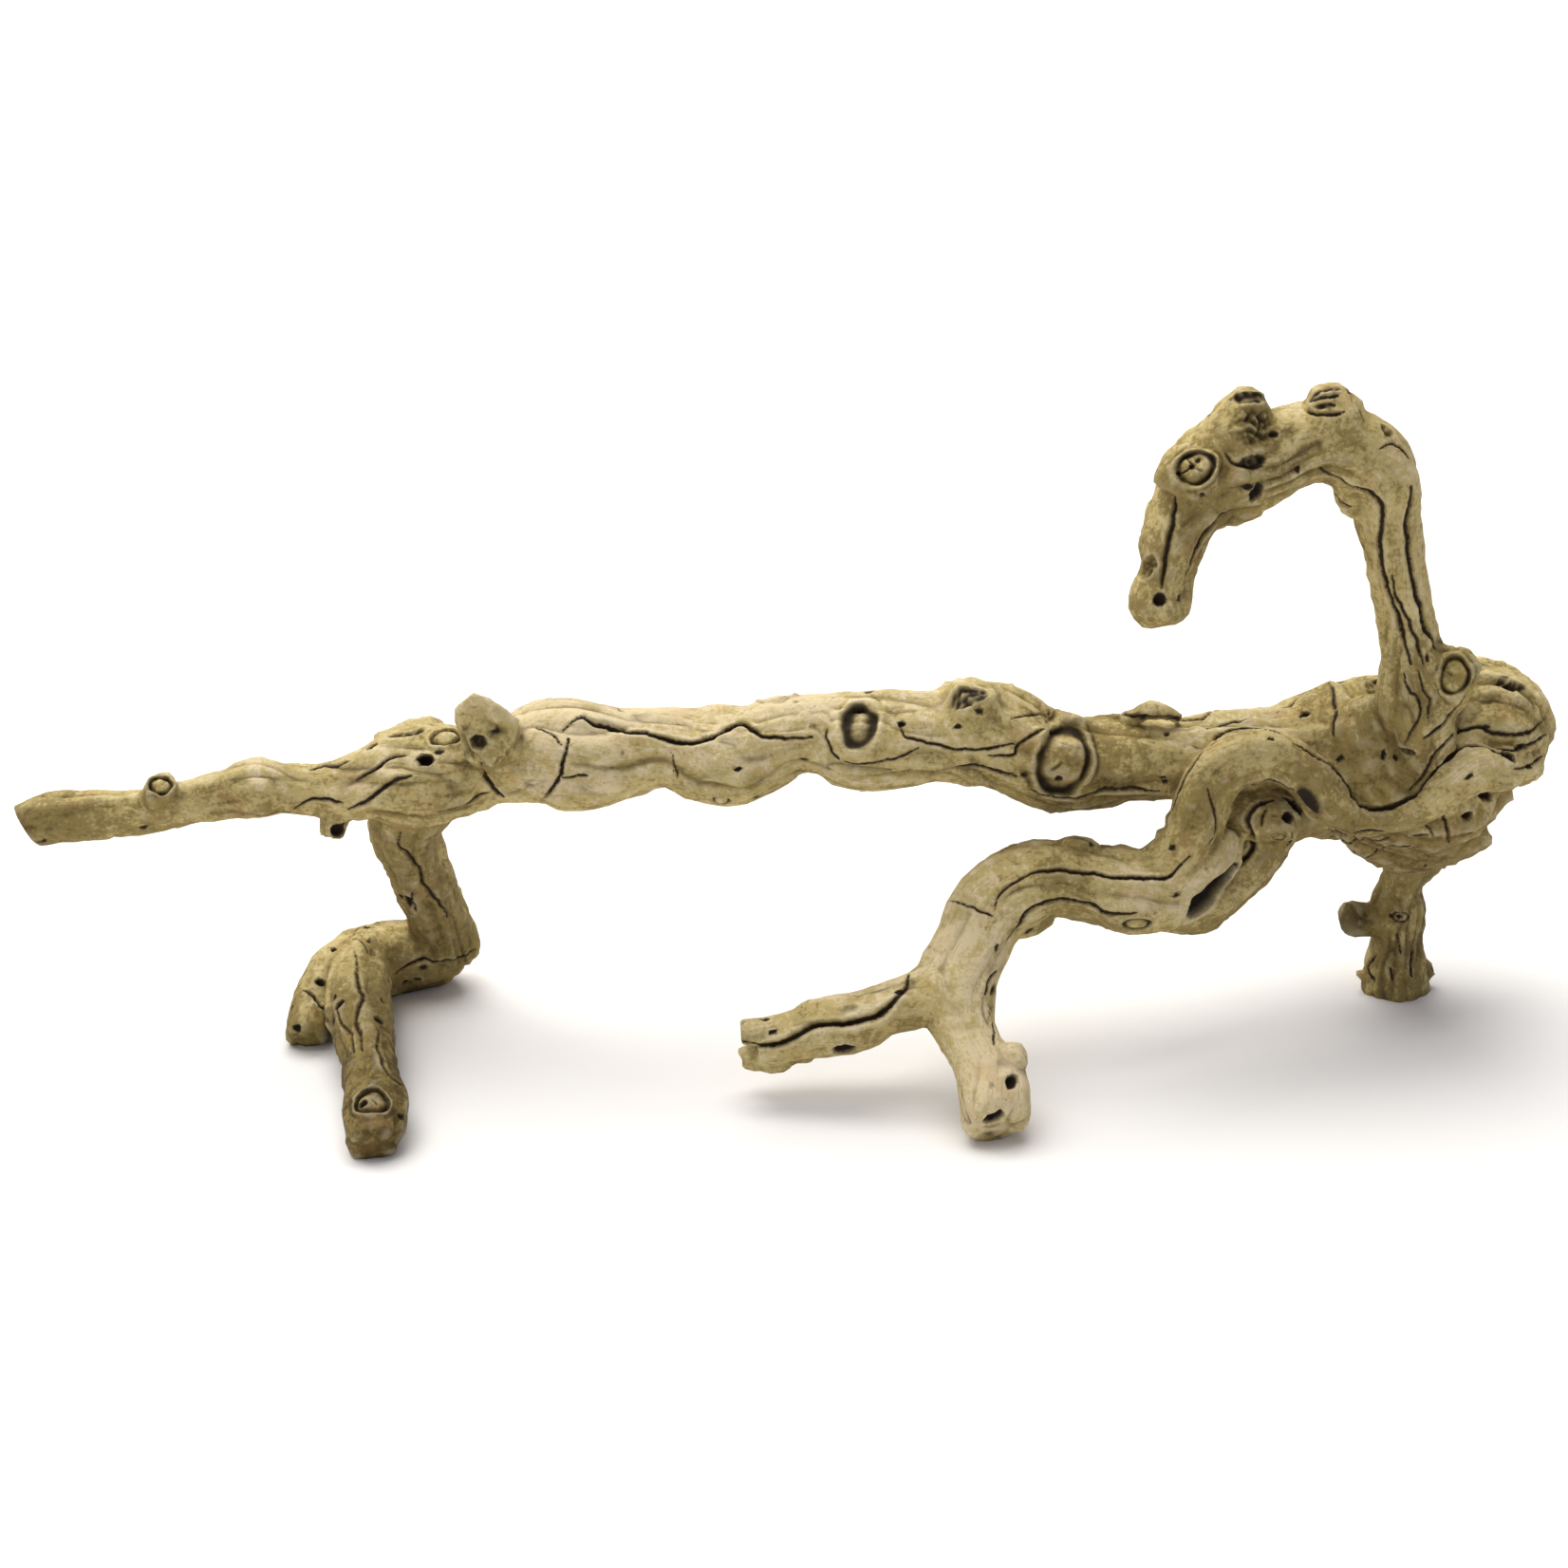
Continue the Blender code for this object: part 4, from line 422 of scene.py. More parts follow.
# Knots seen from the camera: kind, across, up, half length, half width, turn in degrees.
frontKnots = [
    ("socket", 30, 23.6, 9.6, 7.4, 86), ("ringed", 111.5, 9, 13.1, 10.7, 76),
    ("pit", 74.5, 36.6, 7.4, 4.2, 8), ("hole", 46.9, 23.8, 1.6, 1.2, 0),
    ("hole", 109.1, 2.1, 1.6, 1.5, 0), ("hole", 30, 29.9, 2.2, 1.3, 0), ("hole", 151.3, 2.4, 1, 0.9, 0),
    ("pit", 106.4, 20.3, 2.6, 1.2, 40), ("ringed", -24.8, -5.9, 3.5, 3, 0),
    ("hole", -18.3, 5.9, 1.9, 0.9, 10), ("pit", -121.8, 16.6, 3.5, 3.1, 0),
    ("ringed", -134.7, 18.3, 6.4, 4.3, 28), ("hole", -142.4, 9.8, 3.1, 2.4, 0),
    ("hole", -163.5, 14, 2.6, 1.7, 40), ("pit", -150.5, 20.3, 7.8, 3.1, 15),
    ("hole", -177.6, -18.6, 2.9, 2.9, 0), ("ringed", -248.2, -0.8, 4.4, 3.8, 0),
    ("hole", -167.7, -127.4, 1.8, 1.8, 0), ("ringed", -164.2, -126.1, 7, 6, 0),
    ("hole", -176.3, -88.5, 2.6, 2, 90), ("hole", -159.3, -86, 1.8, 1.7, 0),
    ("hole", -161.2, -94.2, 2.1, 1.8, 0), ("hole", -184.8, -79.5, 2.1, 1.8, 0),
    ("hole", -194.3, -97.1, 2, 1.6, 0), ("hole", -145.9, -77.9, 1.6, 1.3, 0),
    ("hole", -179.4, -65.8, 1.4, 1.3, 0), ("hole", -149.2, -46, 5.5, 1.8, 88),
    ("pit", -143.3, 9.4, 3.4, 2.6, 0), ("hole", -152.6, -132.6, 1.8, 1.2, 60),
    ("ringed", 140.5, -55.6, 5.5, 3.5, -8), ("hole", 24.2, -105.6, 4.4, 2.6, 5),
    ("hole", 90.8, -118.4, 3.8, 2.5, 70), ("hole", 83.5, -132.9, 4.4, 2.6, 35),
    ("hollow", 171.5, -43, 14.5, 6.8, 40), ("pit", 83.5, -82.1, 3.2, 1.7, 60),
    ("hole", 253.5, -20.4, 3.2, 1.7, 25), ("hole", 272.1, -12.5, 2.2, 2.2, 0),
    ("hollow", 279.6, -4.5, 4.5, 2.4, -42), ("hole", 274.8, -19, 2.4, 1.7, 80),
    ("hole", 201, -13.2, 2.8, 2.4, 0), ("hollow", 204.6, -9.3, 7.1, 1.9, -42),
    ("hole", 207.3, 27.6, 2.6, 1.4, 25), ("pit", 248.3, 13.1, 3.7, 1.7, 20),
    ("hole", 238.6, 11.8, 2.4, 1, 90), ("rough", 235.3, 37.4, 5.6, 3.7, 80),
    ("ringed", 266.9, 42.8, 7.8, 5.8, 82), ("pit", 279.1, 47.5, 2.4, 1, 0),
    ("pit", 290.6, 38.4, 5, 1.9, 12), ("hollow", 288.5, 10.6, 3.9, 1.9, -20),
    ("ringed", 197, -21.2, 2.6, 2.4, 0), ("pit", 286.1, 40.8, 3.2, 1.5, 50),
    ("hole", 255.3, -32.8, 0.9, 0.9, 0), ("ringed", 163.6, 125.6, 7.4, 6.4, 20),
    ("rough", 187.9, 142.3, 8.7, 7.2, 20), ("pit", 186.7, 128.4, 5.7, 2.3, 10),
    ("hole", 188.1, 116.1, 4, 2.5, 80), ("hole", 168, 146.9, 4.5, 1.6, 45),
    ("pit", 184.8, 154.2, 7, 2.5, 5), ("pit", 215.6, 156.5, 5.9, 1.9, 5),
    ("pit", 215.6, 150.4, 3.8, 1.1, 5), ("hole", 162.6, 126.1, 1.2, 1.1, 0),
    ("hole", 157.2, 123.6, 1.2, 1, 0), ("hole", 149.5, 73.3, 2.8, 2.5, 60),
    ("rough", 145, 86, 5, 3.4, 70), ("rough", 239, 139.5, 3.4, 1.8, -30),
    ("hole", 194.9, 139.3, 1.7, 1.3, 0), ("pit", 157.9, 74.1, 1.7, 1.3, 0),
    ("ringed", 245.5, -53.1, 3.5, 2.7, 0), ("hole", 244.9, -52.8, 1.5, 1.2, 0),
]
# Knots on the other sides: kind, limb, share of its length, angle, half length, half width.
otherKnots = [
    ("ringed", "trunk", 0.22, 188, 10.5, 8.6), ("ringed", "trunk", 0.46, 232, 8.4, 7.2),
    ("ringed", "trunk", 0.72, 204, 11.5, 9.4), ("hole", "trunk", 0.6, 168, 3.2, 2.8),
    ("ringed", "neck", 0.4, 178, 7, 6), ("ringed", "neck", 0.74, 196, 7.6, 7),
    ("hole", "neck", 0.22, 200, 3, 2.6), ("ringed", "middleLeg", 0.34, 204, 7.4, 6.2),
    ("hole", "middleLeg", 0.66, 176, 3, 2.6), ("ringed", "thinArm", 0.62, 196, 5.4, 4.6),
    ("ringed", "leftShank", 0.4, 182, 5.2, 4.6), ("ringed", "hub", 0.5, 174, 13, 11),
    ("pit", "hub", 0.66, 240, 6, 5), ("hole", "hub", 0.36, 214, 4, 3.4),
    ("ringed", "frontToe", 0.46, 180, 5, 4.4), ("ringed", "trunk", 0.36, 96, 6.4, 4.6),
]
# How dark the wood is: 0 bleached tan, 1 olive brown, more where it is dirty too.
limbTones = {
    "trunk": 0.26, "sawnStub": 0.8, "lowerHump": 0.35, "topHump": 0.3, "thinArm": 0.54, "flake": 0.5,
    "hub": 0.98, "hubFace": 0.92, "cap": 0.62, "keel": 1.05, "gillNub": 0.8, "rootRidge": 0.8,
    "roll": 0.6, "upperStrand": 0.6, "neck": 0.6, "neckFlake": 0.75, "jawFlake": 0.8, "brow": 0.8,
    "eyeKnot": 0.8, "crownKnot": 0.8, "bendKnot": 0.75, "neckRootKnot": 0.8, "rightFoot": 0.8,
    "rightBud": 0.95, "leftSplinter": 1, "rightSplinter": 1, "middleLeg": 0.32, "kneeFlake": 0.6,
    "kneeLump": 0.6, "splitTip": 0.44, "upperProng": 0.44, "lowerProng": 0.5, "tipLump": 0.6,
    "underArch": 0.75, "innerKnob": 0.75, "leftShank": 0.95, "heel": 0.85, "frontToe": 0.85,
    "hipHump": 0.7, "armBud": 0.7, "hangingBud": 0.9, "footCorner": 0.5, "backStrand": 0.6,
    "lowStrand": 0.7,
}

# Patches made darker or paler, partly by the weather and partly as painted shade and painted light where
# the wood lies in shade or in light: across, up, size in mm, change of tone.
weatherAndShadePatches = [
    (-300, -14, 26, 0.75), (122, 6, 36, 0.95), (272, 8, 18, -0.45), (-96, 26, 26, -0.2),
    (85, -128, 24, -0.45), (-165, -122, 34, 0.95), (158, 62, 26, 0.1), (40, 2, 40, 0.12),
    (75, -70, 18, -0.2), (158, 112, 26, 0.12), (280, 30, 20, 0.15), (225.5, -53, 6.5, 1.6),
    (187.9, 140, 12, 0.5), (148, 84, 14, 0.3), (165, 104, 14, 0.3), (228, 12, 30, 0.5),
    (110, -40, 24, 0.3),
]


def place(across, up, depth):
    # the point on the line of sight through a place on the board, and its scale
    onBoard = view["boardCentre"] + boardAcross * (across * mm) + boardUp * (up * mm)
    sight = onBoard - eye
    scale = (view["boardCentre"].y + depth * mm - eye.y) / sight.y
    return eye + sight * scale, scale


def smoothCurve(rows, step):
    knots = np.array([rows[0], *rows, rows[-1]], float)
    places = min(3, knots.shape[1])
    made = []
    for before, start, end, after in zip(knots, knots[1:], knots[2:], knots[3:]):
        steps = max(2, round(float(np.linalg.norm((end - start)[:places])) / step))
        for t in np.arange(steps) / steps:
            made.append(
                0.5 * (2 * start + (end - before) * t
                       + (2 * before - 5 * start + 4 * end - after) * t ** 2
                       + (3 * start - before - 3 * end + after) * t ** 3)
            )
    made.append(knots[-1])
    return np.array(made)


class Limb:
    def __init__(self, stations):
        rows = []
        for across, up, depth, radius in stations:
            point, scale = place(across, up, depth)
            rows.append((*point, radius * mm * scale))
        samples = smoothCurve(rows, driftwood["sampleStep"])
        self.points, self.radii = samples[:, :3], samples[:, 3]
        self.tangents = np.gradient(self.points, axis=0)
        self.tangents /= np.linalg.norm(self.tangents, axis=1)[:, None]
        gaps = np.linalg.norm(np.diff(self.points, axis=0), axis=1)
        self.along = np.concatenate([[0.0], np.cumsum(gaps)])
        facing = -np.array(look)
        fronts = []
        for tangent in self.tangents:
            facing = facing - tangent * (facing @ tangent)
            facing /= np.linalg.norm(facing)
            fronts.append(facing)
        self.fronts = np.array(fronts)
        self.uppers = np.cross(self.fronts, self.tangents)

    def surfacePlace(self, tree, share, degrees):
        where = share * (len(self.points) - 1)
        i = min(len(self.points) - 2, int(where))
        t = where - i
        centre = Vector(self.points[i] * (1 - t) + self.points[i + 1] * t)
        angle = math.radians(degrees)
        out = Vector(self.fronts[i] * math.cos(angle) + self.uppers[i] * math.sin(angle))
        point, normal, _, _ = tree.ray_cast(centre, out)
        return point, normal, Vector(self.tangents[i])


def limbTube(name, limb):
    # a path with round bevel and filled ends, turned into a mesh
    bpy.ops.curve.primitive_nurbs_path_add()
    path = bpy.context.object
    path.name = name
    curve = path.data
    curve.splines.clear()
    spline = curve.splines.new("POLY")
    spline.points.add(len(limb.points) - 1)
    for point, where, radius in zip(spline.points, limb.points, limb.radii):
        point.co = (*where, 1)
        point.radius = radius
    curve.bevel_depth = 1.0
    curve.bevel_resolution = 6
    curve.use_fill_caps = True
    bpy.ops.object.convert(target="MESH")
    return bpy.context.object


def bluntEnd(name, front, back, share, corners):
    # a flat outline facing the camera, drawn back into the wood
    bpy.ops.mesh.primitive_circle_add(vertices=len(corners), fill_type="NGON")
    block = bpy.context.object
    block.name = name
    for vertex, corner in zip(block.data.vertices, corners):
        vertex.co = place(*corner, front)[0]
    middle = np.mean(corners, 0)
    start, end = place(*middle, front)[0], place(*middle, back)[0]
    bpy.ops.object.mode_set(mode="EDIT")
    bpy.ops.mesh.select_all(action="SELECT")
    bpy.ops.mesh.extrude_region_move(TRANSFORM_OT_translate={"value": end - start})
    bpy.ops.transform.resize(value=(share, share, share), center_override=end)
    bpy.ops.mesh.select_all(action="SELECT")
    bpy.ops.mesh.normals_make_consistent(inside=False)
    bpy.ops.object.mode_set(mode="OBJECT")
    return block


def fusedLimbs(limbs):
    pickOnly()
    tubes = [limbTube(name, limb) for name, limb in limbs.items()]
    tubes += [bluntEnd(name, *shape) for name, shape in bluntEnds.items()]
    pickOnly(*tubes)
    bpy.ops.object.join()
    wood = bpy.context.object
    wood.name = "grapevineWood"
    bpy.ops.object.mode_set(mode="EDIT")
    bpy.ops.mesh.select_all(action="SELECT")
    bpy.ops.mesh.remove_doubles(threshold=driftwood["weld"])
    bpy.ops.object.mode_set(mode="OBJECT")
    applyModifier(wood, "REMESH", mode="VOXEL", voxel_size=driftwood["cell"])
    applyModifier(wood, "SMOOTH", factor=0.5, iterations=driftwood["relaxing"])
    return wood


def findKnots(tree, limbs):
    found = []
    for kind, across, up, halfLength, halfWidth, turn in frontKnots:
        target, _ = place(across, up, 0)
        point, normal, _, _ = tree.ray_cast(eye, target - eye)
        if point is None:
            continue
        level = boardAcross - normal * normal.dot(boardAcross)
        along = Matrix.Rotation(math.radians(turn), 3, -look) @ level.normalized()
        found.append((kind, point, normal, along, halfLength, halfWidth))
    for kind, name, share, degrees, halfLength, halfWidth in otherKnots:
        point, normal, tangent = limbs[name].surfacePlace(tree, share, degrees)
        if point is not None:
            found.append((kind, point, normal, tangent, halfLength, halfWidth))
    made = []
    for kind, point, normal, along, halfLength, halfWidth in found:
        facing = np.array(normal)
        along = np.array((along - normal * along.dot(normal)).normalized())
        made.append({
            "kind": kind, "middle": np.array(point), "facing": facing, "along": along,
            "across": np.cross(facing, along), "length": halfLength * mm, "width": halfWidth * mm,
        })
    return made


def crackRows(tree, limbs):
    # place, depth and half width along every crack, thinning out towards its ends
    rows = []
    marks = np.arange(4000.0)[:, None] * (1, 0, 0) + 0.37
    uneven = 0.85 + 0.45 * softNoise(marks / 17) + 0.25 * softNoise(marks / 5)
    deepShare, wideShare = driftwood["crackShare"]

    def add(hits, depth, halfWidth):
        for i, hit in enumerate(hits):
            if hit is not None:
                end = min(i, len(hits) - 1 - i) / max(1, len(hits) - 1)
                fade = min(1.0, 0.2 + 5 * end) * uneven[i % len(uneven)]
                rows.append((
                    *hit, deepShare * depth * mm * fade, wideShare * halfWidth * mm * (0.45 + 0.55 * fade)
                ))

    for order, (depth, halfWidth, line) in enumerate(frontCracks):
        marks = smoothCurve(line, driftwood["markStep"] / mm)
        seeds = np.concatenate([marks, np.full((len(marks), 1), order * 3.0)], 1)
        wander = 0.8 * softNoise(seeds / (6, 6, 1)) + 0.35 * softNoise(seeds / (1.8, 1.8, 1))
        hits = []
        for (across, up), w in zip(marks, wander):
            target, _ = place(across + w, up + w, 0)
            hits.append(tree.ray_cast(eye, target - eye)[0])
        add(hits, depth, halfWidth)
    for order, (name, start, end, first, last, depth, halfWidth) in enumerate(otherCracks):
        limb = limbs[name]
        count = int((end - start) * limb.along[-1] / driftwood["markStep"])
        t = np.linspace(0, 1, count)
        seeds = np.stack([t * count, np.full(count, order * 3.0), np.full(count, 0.5)], 1)
        wander = 9 * softNoise(seeds / (30, 1, 1)) + 4 * softNoise(seeds / (9, 1, 1))
        hits = [
            limb.surfacePlace(tree, start + (end - start) * share, first + (last - first) * share + w)[0]
            for share, w in zip(t, wander)
        ]
        add(hits, depth, halfWidth)
    return rows


def crackGaps(points, rows):
    # how far each point is from the nearest crack, and that crack's depth and half width
    nearest, gaps = nearestPlaces([row[:3] for row in rows], points)
    table = np.array(rows)
    return gaps, table[nearest, 3], table[nearest, 4]


def flowRoundKnots(points, normals, knots):
    # the grain parts in front of a knot and closes behind it, as water does round a stone
    flowed = points.copy()
    for knot in knots:
        if knot["kind"] not in ("ringed", "socket", "rough"):
            continue
        off = points - knot["middle"]
        along, across = off @ knot["along"], off @ knot["across"]
        radius = 1.15 * max(knot["length"], knot["width"])
        reach = np.hypot(along, across)
        near = (np.linalg.norm(off, axis=1) < 3.2 * radius) & (normals @ knot["facing"] > 0)
        squeeze = np.minimum(1, (radius / np.maximum(reach, 1e-6)) ** 2)
        squeeze *= 1 - smoothStep(2.2 * radius, 3.2 * radius, reach)
        flowed[near] -= (across * squeeze)[near, None] * knot["across"]
    return flowed


def grainPlaces(points, limbs):
    # for every limb near a point: its weight there, and the point in that limb's winding grain
    count = len(points)
    best = np.zeros(count)
    second = np.zeros(count)
    grain = np.zeros((count, 3))
    flute = np.zeros(count)
    tone = np.zeros(count)
    weights = np.zeros(count)
    fluteLength, fluteWidth, fluteShare = driftwood["flute"]
    for order, (name, limb) in enumerate(limbs.items()):
        reach = limb.radii.max() * driftwood["limbReach"]
        near = np.flatnonzero(
            ((points > limb.points.min(0) - reach) & (points < limb.points.max(0) + reach)).all(1)
        )
        for chunk in np.array_split(near, max(1, len(near) // 12000)):
            gaps = np.linalg.norm(points[chunk, None, :] - limb.points[None], axis=2)
            nearest = (gaps / limb.radii[None]).argmin(1)
            off = points[chunk] - limb.points[nearest]
            radius = limb.radii[nearest]
            share = np.linalg.norm(off, axis=1) / radius
            weight = np.exp(-7 * np.clip(share - 1, 0, None)) * (share < driftwood["limbReach"])
            along = limb.along[nearest] + (off * limb.tangents[nearest]).sum(1)
            front = (off * limb.fronts[nearest]).sum(1)
            upper = (off * limb.uppers[nearest]).sum(1)
            turn = along * driftwood["twist"]
            a = front * np.cos(turn) - upper * np.sin(turn)
            b = front * np.sin(turn) + upper * np.cos(turn)
            inGrain = np.stack([along / mm + 97 * order, a / mm, b / mm], 1)
            wave = softNoise(inGrain / (fluteLength, fluteWidth, fluteWidth))
            height = (2 * np.abs(wave) ** 0.8 - 0.45) * np.minimum(radius, 24 * mm) * fluteShare
            flute[chunk] += weight * height
            tone[chunk] += weight * limbTones[name]
            weights[chunk] += weight
            wins = weight > best[chunk]
            second[chunk] = np.where(wins, best[chunk], np.maximum(second[chunk], weight))
            best[chunk[wins]] = weight[wins]
            grain[chunk[wins]] = inGrain[wins]
    tone = np.where(weights > 0.0001, tone / np.maximum(weights, 0.0001), 0.6)
    weights = np.maximum(weights, 0.3)
    trust = np.clip(1.6 * (best - second) / np.maximum(best, 0.01), 0, 1)
    return grain, flute * 1.6 / weights, tone, trust


def knotShape(knot, face, reach, order):
    # the height and the darkness at places on the face of a knot, where reach is 1 on its outline
    kind, size = knot["kind"], knot["width"]
    turn = np.arctan2(face[:, 1], face[:, 0])
    circle = np.stack([np.cos(turn) * 1.2, np.sin(turn) * 1.2, np.full(len(turn), order * 2.3)], 1)
    wave, other = softNoise(circle), softNoise(circle + 41.7)
    groove = (0.5 + 0.12 * size / mm) * mm
    crumbs = softNoise(np.stack([*(face.T / (2.2 * mm)), np.full(len(turn), order * 1.0)], 1))
    if kind == "ringed":
        wide = 0.09 + 0.09 * np.clip(0.5 + wave, 0, 1)
        cut = ridge(reach - 0.9 - 0.06 * other, wide) * np.clip(0.7 + 0.6 * other, 0.25, 1)
        lip = ridge(reach - 1.36 - 0.08 * wave, 0.06) * smoothStep(-0.1, 0.25, other - wave)
        heading = order * 2.4
        toward = face @ (math.cos(heading), math.sin(heading)) / size
        side = face @ (-math.sin(heading), math.cos(heading)) / size
        check = ridge(side + 0.06 * wave, 0.06)
        check *= smoothStep(0.02, 0.12, toward) * (1 - smoothStep(0.4, 0.75, toward))
        height = groove * (
            ridge(reach - 1.18, 0.17) - 2.2 * cut - 0.6 * lip
            + 0.9 * ridge(reach, 0.62) - 0.6 * check + 0.3 * crumbs * (reach < 1)
        )
        return height, np.maximum(np.maximum(0.95 * np.clip(1.5 * cut, 0, 1), 0.5 * lip), 0.6 * check)
    if kind == "socket":
        almond = np.exp(-((face[:, 0] / (0.6 * knot["length"])) ** 4 + (face[:, 1] / (0.4 * size)) ** 2))
        inside = 1 - smoothStep(0.72, 1.02, reach + 0.08 * wave)
        lip = ridge(reach - 1.42 - 0.08 * wave, 0.07) * smoothStep(-0.1, 0.25, other)
        height = size * (0.34 * almond - 0.36 * inside) + groove * (
            0.9 * ridge(reach - 1.18, 0.17) - 0.6 * lip + 0.4 * crumbs * inside
        )
        # the hollow round the almond is painted dark: painted shade
        dark = (1 - smoothStep(0.88, 1.1, reach + 0.08 * wave)) * np.clip(1.1 - 1.35 * almond, 0.25, 0.95)
        return height, np.maximum(dark, 0.5 * lip)
    if kind == "rough":
        fading = np.exp(-((reach / 0.95) ** 4))
        height = mm * (ridge(reach - 1.2, 0.22) + (2.8 * crumbs - 1.2) * fading)
        # darker in its low crumbs: painted shade
        return height, fading * np.clip(0.35 - 0.9 * crumbs, 0, 0.8)
    depth = {"hole": 1.4, "pit": 0.75, "hollow": 1.6}[kind] * size
    height = -depth * np.clip(1 - reach ** 2, 0, None) ** 0.7
    height += 0.18 * size * ridge(reach - 1.25, 0.25)
    # holes, pits and hollows are painted dark inside: painted shade
    dark = 1 - smoothStep(0.86, 1.1, reach)
    if kind == "pit":
        height += 1.2 * crumbs * mm * dark
        dark *= np.clip(0.85 - 1.1 * crumbs, 0.3, 1)
    return height, dark


def pressKnots(points, normals, knots):
    # moves the points round each knot in or out, and marks how dark it is there
    moved = points.copy()
    rings = np.full(len(points), 3.0)
    dark = np.zeros(len(points))
    for order, knot in enumerate(knots):
        off = points - knot["middle"]
        near = np.flatnonzero(
            (np.linalg.norm(off, axis=1) < 2.4 * knot["length"]) & (normals @ knot["facing"] > 0.1)
        )
        face = np.stack([off[near] @ knot["along"], off[near] @ knot["across"]], 1)
        warp = softNoise(np.stack([*(face.T / (0.9 * knot["width"])), np.full(len(near), order * 3.7)], 1))
        reach = np.hypot(face[:, 0] / knot["length"], face[:, 1] / knot["width"]) * (1 + 0.12 * warp)
        height, darkness = knotShape(knot, face, reach, order)
        facing = np.clip((normals[near] @ knot["facing"] - 0.1) / 0.4, 0, 1)
        moved[near] += (height * facing)[:, None] * knot["facing"]
        # inside holes, pits, hollows and sockets this darkness is painted shade, laid on their steep walls
        # too
        dark[near] = np.maximum(dark[near], darkness * np.clip(4 * facing, 0, 1))
        if knot["kind"] in ("ringed", "socket"):
            rings[near] = np.minimum(rings[near], reach)
    return moved, rings, dark


def raiseNubs(points, normals, tree, limbs):
    # bud scars, warts and worm holes, strewn over every side
    strew = np.random.default_rng(driftwood["seed"])
    lift = np.zeros(len(points))
    hollow = np.zeros(len(points))
    smallest, more = driftwood["nubSize"]
    wormHole = driftwood["wormHole"]
    for limb in limbs.values():
        for _ in range(round(float(limb.along[-1]) / driftwood["nubSpacing"])):
            share, degrees, size, stretch, how = strew.random(5)
            point, normal, tangent = limb.surfacePlace(tree, 0.04 + 0.92 * share, 360 * degrees)
            if point is None:
                continue
            size = (smallest + more * size * size) * mm
            off = points - np.array(point)
            near = np.flatnonzero((np.abs(off) < 3 * size).all(1) & (normals @ np.array(normal) > 0.2))
            along = off[near] @ np.array(tangent)
            squash = (off[near] ** 2).sum(1) - along ** 2 * (1 - 1 / (1.2 + stretch) ** 2)
            reach = np.sqrt(np.maximum(squash, 0)) / size
            bulge = np.clip(1 - reach ** 2, 0, None)
            if how < driftwood["nubShare"]:
                lift[near] += (0.25 + 0.5 * how) * size * bulge ** 1.5
            else:
                bulge = np.clip(1 - (reach * size / wormHole) ** 2, 0, None)
                lift[near] -= 0.7 * wormHole * bulge ** 0.7
                # worm holes are painted dark inside: painted shade
                hollow[near] = np.maximum(hollow[near], smoothStep(0.0, 0.4, bulge))
    return lift, hollow


def sawEnds(points, limbs):
    # what lies beyond a cut is pressed onto it, nearly flat
    for name, end, cutOff, lean in sawnEnds:
        limb = limbs[name]
        out = Vector(limb.tangents[end] * (-1 if end == 0 else 1))
        out = np.array(Matrix.Rotation(math.radians(lean), 3, look) @ out)
        off = points - (limb.points[end] - out * cutOff * mm)
        beyond = off @ out
        near = (beyond > 0) & (np.linalg.norm(off, axis=1) < 1.9 * limb.radii[end])
        points[near] -= beyond[near, None] * out * 0.97


def weatherAndShade(points):
    # what the patches add to the tone at each point, as the camera sees them: partly weathering, partly
    # painted shade and painted light
    sight = points - np.array(eye)
    onBoard = sight * (view["distance"] / (sight @ np.array(look)))[:, None]
    across, up = onBoard @ np.array(boardAcross) / mm, onBoard @ np.array(boardUp) / mm
    added = np.zeros(len(points))
    for patchAcross, patchUp, size, change in weatherAndShadePatches:
        gaps = np.hypot(across - patchAcross, up - patchUp) / size
        added += change * ridge(gaps, 1)
    return added


def recesses(mesh, points):
    # how much deeper each point lies in its near surroundings than the points about it do, in mm:
    # above 0 in a groove, below 0 on a rib
    near, wide = driftwood["surroundings"]
    edges = np.empty(len(mesh.edges) * 2, np.int32)
    mesh.edges.foreach_get("vertices", edges)
    edges = edges.reshape(-1, 2)
    counts = np.maximum(np.bincount(edges.ravel(), minlength=len(points)), 1)

    def spread(values, times):
        for _ in range(times):
            total = np.bincount(edges[:, 0], values[edges[:, 1]], len(points))
            total += np.bincount(edges[:, 1], values[edges[:, 0]], len(points))
            values = total / counts
        return values

    smooth = np.stack([spread(points[:, axis], near) for axis in range(3)], 1)
    depth = ((smooth - points) * readRows(mesh, "normal")).sum(1) / mm
    return depth - spread(depth, wide)


